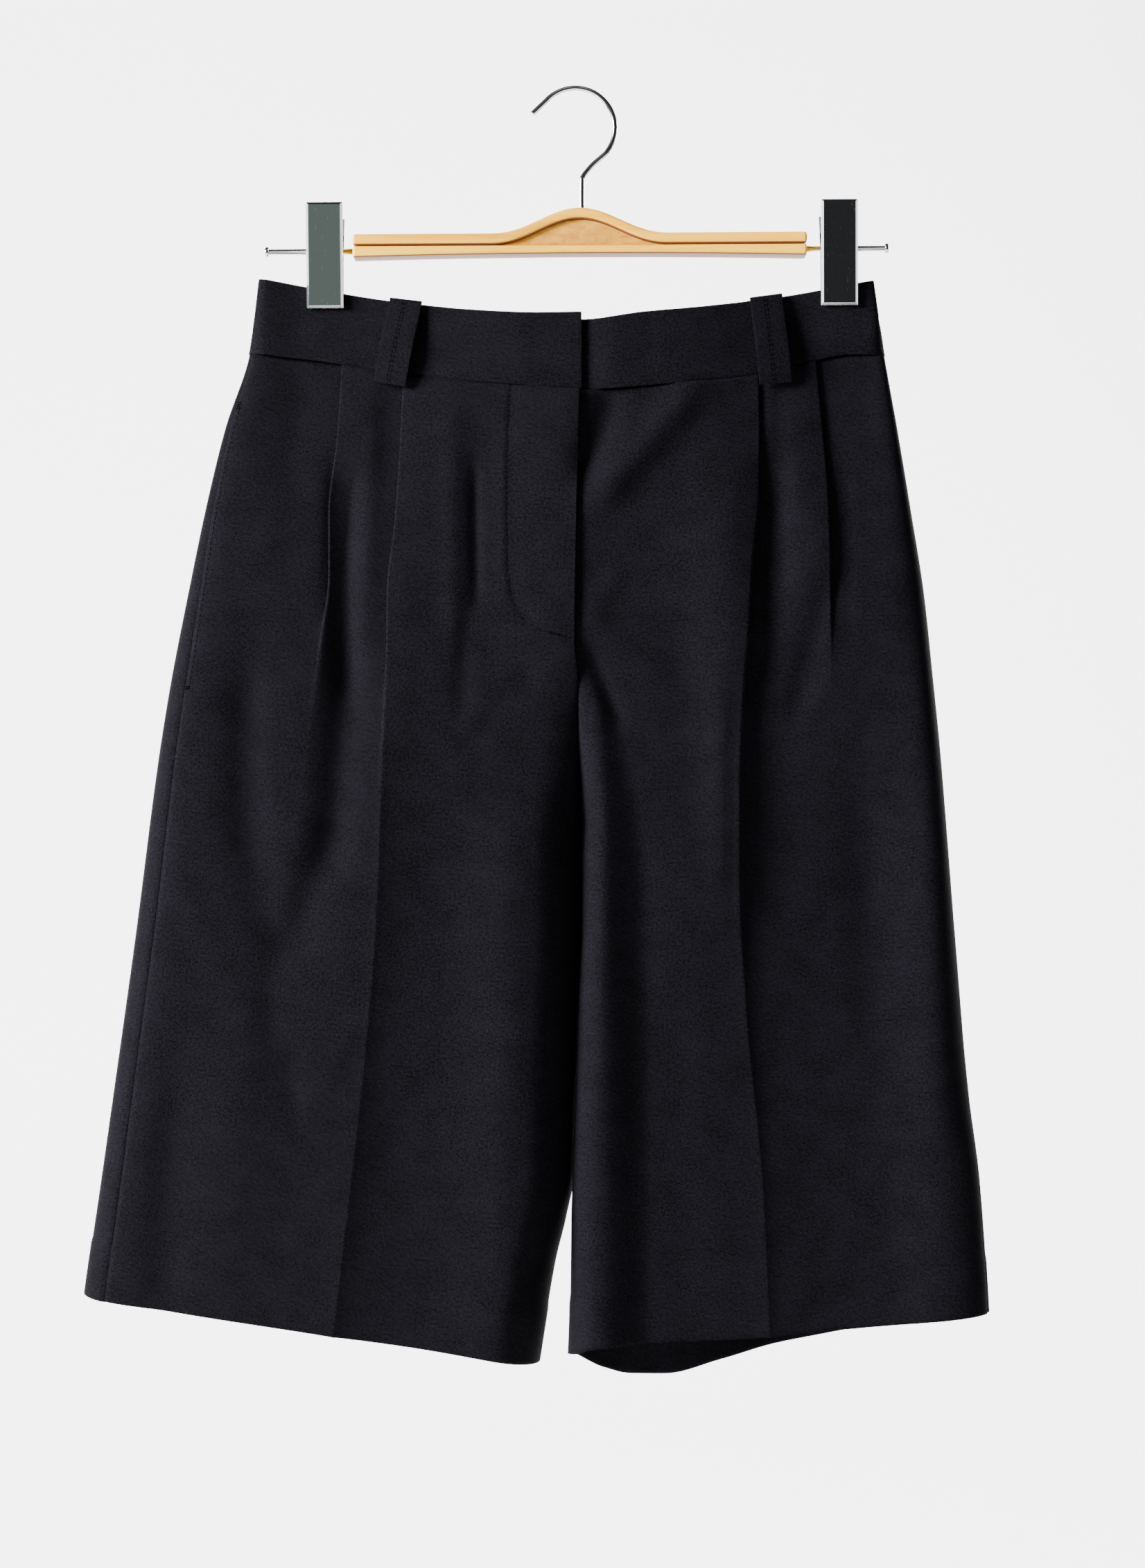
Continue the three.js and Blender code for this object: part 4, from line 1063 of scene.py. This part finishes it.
# Bar tacks: short dense rows of thread
tack = {"length": 1.1, "gap": 0.0, "width": 0.5, "height": 0.45, "out": 0.55}
flyTacks = [(-16, -321.6, -9, -323.6), (-16, -322.4, -9, -324.4)]
tackRuns = []
for x0, z0, x1, z1 in flyTacks:
    line = [(mix(x0, x1, t), mix(z0, z1, t)) for t in np.linspace(0, 1, 9)]
    tackRuns.append(onGrid(grids["frontleft"], line))
onPanels["frontleft"] += [flyStitch, stitchPiece("flyTack", tackRuns, tack)]
for side in ("left", "right"):
    half = pocket["tackHalf"]
    runs = [alongSeam(grids["front" + side], inset, z + half, z - half)
            for inset in pocket["tackInsets"] for z in pocket["tackZ"]]
    onPanels["front" + side].append(stitchPiece("pocketTack" + side.capitalize(), runs, tack))

# Two stitch lines down each loop, on columns and rows of its grid
loopStitch = {"length": 2.4, "gap": 0.4, "width": 0.6, "height": 0.3, "out": 0.75}
stitchedColumns = (10, 12)
stitchedRows = slice(16, 58)
for loop in loops:
    grid = loop["grid"]
    normals = gridNormals(grid)
    normals *= np.sign(normals[..., 1:2]) * outwards(loop["face"])
    runs = [(grid[stitchedRows, k], normals[stitchedRows, k]) for k in stitchedColumns]
    loop["pieces"].append(stitchPiece(loop["name"] + "Stitch", runs, loopStitch))
print("stage: stitches made")

# Hanger: level sizes, then a slight tilt about the foot of the shank
hangerTilt = -0.34
wireDiameter = 3.1
hookRadius = 23.5
shankX = 3.9
kinkZ = -50.5
shankDepth = 4.6
woodHalfLength = 134
woodMidX = 2.7
woodDepth = 15
woodTopZ = -85.4
humpHeight = 14.9
humpHalfWidth = 53
grooveDrop = 6.4
lowerTopZ = -92.4
woodBottomZ = -99
bottomArch = 1.6
insertHalfLength = 49
insertDepth = 9
edgeRound = 1.6
rodZ = -94.4
rodRadius = 1.65
rodEnds = {"left": -183.5, "right": 185.3}
headRadius = 2.95
headLength = 2.2
boreDepth = 14


def tilted(points):
    angle = math.radians(hangerTilt)
    x = points[..., 0] - shankX
    z = points[..., 2] - woodTopZ
    turned = np.array(points, float)
    turned[..., 0] = shankX + x * math.cos(angle) + z * math.sin(angle)
    turned[..., 2] = woodTopZ - x * math.sin(angle) + z * math.cos(angle)
    return turned


def hump(x):
    run = np.clip(abs(x - woodMidX) / humpHalfWidth, 0, 1)
    return humpHeight * (0.5 + 0.5 * np.cos(math.pi * run)) ** 1.15


def grooveZ(x):
    return np.maximum(lowerTopZ, woodTopZ - grooveDrop + hump(x))


def woodBottom(x):
    return woodBottomZ + bottomArch * (1 - ((x - woodMidX) / woodHalfLength) ** 2)


# A bar along X between two curves, with rounded edges
endSteps = (0.15, 0.4, 0.7, 1)


def woodPiece(wood):
    rounding = wood["round"]
    corners = []
    for turn in range(4):
        for angle in np.radians(turn * 90 + np.linspace(0, 90, 5)):
            corners.append((turn, math.cos(angle), math.sin(angle)))
    reach = wood["half"] - rounding
    ends = [(reach + t * rounding, (1 - math.sqrt(1 - t * t)) * rounding) for t in endSteps]
    stations = [(-run, cut) for run, cut in ends[::-1]]
    stations += [(share * reach, 0) for share in np.linspace(-1, 1, 241)] + ends
    rings = []
    for run, cut in stations:
        x = woodMidX + run
        bottom = wood["low"](x) + cut
        top = wood["high"](x) - cut
        half = wood["deep"] / 2 - cut
        r = min(rounding, (top - bottom) / 2)
        ring = []
        for turn, c, s in corners:
            cy = (half - r) * (1 if turn in (0, 3) else -1)
            cz = top - r if turn in (0, 1) else bottom + r
            ring.append((x, cy + r * c, cz + r * s))
        rings.append(ring)
    piece = tubePiece(wood["name"], tilted(np.array(rings)), woodLook[wood["look"]])
    settle(piece, nodeName(wood["name"]))


bar = {"slot": "wood", "half": woodHalfLength, "deep": woodDepth, "round": edgeRound}
woodPiece({
    **bar, "name": "hangerUpperStrip", "look": "upper",
    "low": lambda x: grooveZ(x) + seamGap / 2, "high": lambda x: woodTopZ + hump(x),
})
woodPiece({
    **bar, "name": "hangerLowerStrip", "look": "lower",
    "low": woodBottom, "high": lambda x: lowerTopZ - seamGap / 2,
})
woodPiece({
    "name": "hangerInsert", "slot": "wood_insert", "look": "insert",
    "low": lambda x: lowerTopZ + seamGap,
    "high": lambda x: max(lowerTopZ + seamGap + 0.2, grooveZ(x) - seamGap),
    "half": insertHalfLength, "deep": insertDepth, "round": 0.05,
})


# A round bar along a path in the XZ plane
def wirePiece(name, path, diameter, material):
    direction = np.gradient(path, axis=0)
    direction /= np.linalg.norm(direction, axis=1, keepdims=True)
    rings = []
    for (x, z), (alongX, alongZ) in zip(path, direction):
        ring = []
        for angle in np.linspace(0, 2 * math.pi, 20, endpoint=False):
            out = diameter / 2 * math.cos(angle)
            ring.append((x - alongZ * out, diameter / 2 * math.sin(angle), z + alongX * out))
        rings.append(ring)
    return tubePiece(name, np.array(rings), material)


hookCentreZ = wireDiameter / 2 - hookRadius
hookPath = [(-25.3, -13.6)]
for angle in np.radians(range(138, -43, -6)):
    hookPath.append((hookRadius * math.cos(angle), hookCentreZ + hookRadius * math.sin(angle)))
hookPath += [
    (shankX + 6.9, kinkZ + 7.1), (shankX + 2.5, kinkZ + 2.2), (shankX + 0.5, kinkZ - 0.8),
    (shankX, kinkZ - 4), (shankX, woodTopZ + humpHeight - shankDepth),
]


# A smooth curve through the points of a path
def smoothPath(path):
    path = np.array(path)
    padded = np.concatenate([path[:1], path, path[-1:]])
    fine = []
    for p0, p1, p2, p3 in zip(padded, padded[1:], padded[2:], padded[3:]):
        for t in np.linspace(0, 1, 6)[:-1]:
            fine.append(0.5 * (2 * p1 + (p2 - p0) * t + (2 * p0 - 5 * p1 + 4 * p2 - p3) * t**2
                               + (3 * p1 - p0 - 3 * p2 + p3) * t**3))
    return np.array([*fine, path[-1]])


hook = wirePiece("hangerHook", smoothPath(hookPath), wireDiameter, wireLook)
softenEdges(hook, 0.35, 2)
settle(hook, "hook")


# A round piece along X from a profile of places and radii
def turnedPiece(name, profile, material):
    angles = np.linspace(0, 2 * math.pi, 32, endpoint=False)
    rings = [[(x, r * math.cos(a), rodZ + r * math.sin(a)) for a in angles] for x, r in profile]
    return tubePiece(name, tilted(np.array(rings)), material)


def wear(mesh, material):
    mesh.materials.clear()
    mesh.materials.append(material)


for side in ("left", "right"):
    s = towards(side)
    end = rodEnds[side]
    head = end - s * headLength
    profile = [
        (woodMidX + s * (woodHalfLength - boreDepth + 1), rodRadius), (head - s * 0.02, rodRadius),
        (head, headRadius - 0.3), (head + s * 0.3, headRadius), (end - s * 0.8, headRadius),
        (end - s * 0.2, headRadius - 0.45), (end, headRadius - 0.9),
    ]
    settle(turnedPiece("rod" + side.capitalize(), profile, wireLook), "rod_" + side)
    # The front plate's edges catch the light, so a bevelled copy replaces it
    frontMesh = nodes[f"clip_{side}_front_plate"].data.copy()
    wear(frontMesh, chromeLook)
    frontMesh.shade_smooth()
    front = addObject("clipFront" + side.capitalize(), frontMesh)
    softenEdges(front, 0.3, 3, angle=25)
    settle(front, f"clip_{side}_front_plate")
    wear(nodes[f"clip_{side}_back_plate"].data, chromeLook)
    wear(nodes[f"clip_{side}_barrel"].data, wireLook)
print("stage: hanger made")

# Each sheet is paired with its waistband piece and each band's clips are listed, but nothing is
# made from them
for key, sheet in sheets.items():
    band = bandPieces[key] if key.startswith("front") else bandPieces["back"]
for key, band in bands.items():
    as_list(band["rests"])

# Camera at the photo's angle
camera = addObject("camera", bpy.data.cameras.new("camera"))
camera.data.lens = 58.2
camera.data.dof.use_dof = False
camera.location = (-0.0016, -1.5, -0.4102)
camera.rotation_euler = (math.radians(90), 0, 0)
bpy.context.scene.camera = camera


# Plain sweep behind and below
def plainMaterial(name, colour, glow):
    material, tree, shader = newMaterial(name)
    setInputs(shader, {
        "Base Color": (*colour, 1), "Roughness": 0.9, "Emission Color": (*colour, 1),
        "Emission Strength": glow})
    return material


# A strip across the whole width through rows of depth and height
def sweepPiece(name, rows, material):
    bm = gridMesh(np.array([[(-5, y, z), (5, y, z)] for y, z in rows]))
    bmesh.ops.recalc_face_normals(bm, faces=bm.faces)
    return newObject(name, bm, material)


wallRows = [(2.6, -1.85), (2.9, -1.78), (3.15, -1.6), (3.3, -1.3), (3.37, -0.9), (3.4, 2.6)]
floorRows = [(-3.2, -1.85), (2.6, -1.85)]
sweepPiece("wall", wallRows, plainMaterial("palePaper", (0.82, 0.82, 0.82), 3.5))
sweepPiece("floor", floorRows, plainMaterial("paleFloor", (0.8, 0.8, 0.8), 0))

aimPoint = (0, 0, -0.42)
white = (1.0, 1.0, 1.0)
lights = [  # name, place, size, power, colour
    ("key", (-3.45, -1.56, 0.8), 1.35, 960, white),
    ("fill", (-0.3, -2.4, 2.6), 2.0, 6, white),
    ("card", (-0.6, -2.7, 0.15), 0.9, 0.4, (0.8, 1.0, 0.9)),
    ("leftSide", (-3, 0.1, -0.15), 1.5, 22, white),
    ("rightSide", (3, 0.1, -0.15), 1.5, 12, white),
    ("back", (2.4, 2.0, 0.6), 1.2, 170, white),
]
for name, place, size, power, colour in lights:
    light = bpy.data.lights.new(name, "AREA")
    light.energy = power
    light.size = size
    light.color = colour
    lamp = addObject(name, light)
    lamp.location = place
    aim = Vector(aimPoint) - Vector(place)
    lamp.rotation_euler = aim.to_track_quat("-Z", "Y").to_euler()

world = bpy.data.worlds.new("studio")
bpy.context.scene.world = world
world.use_nodes = True
background = world.node_tree.nodes["Background"]
background.inputs["Color"].default_value = (0.9, 0.93, 1.0, 1)
background.inputs["Strength"].default_value = 0.03
print("stage: camera and light made")
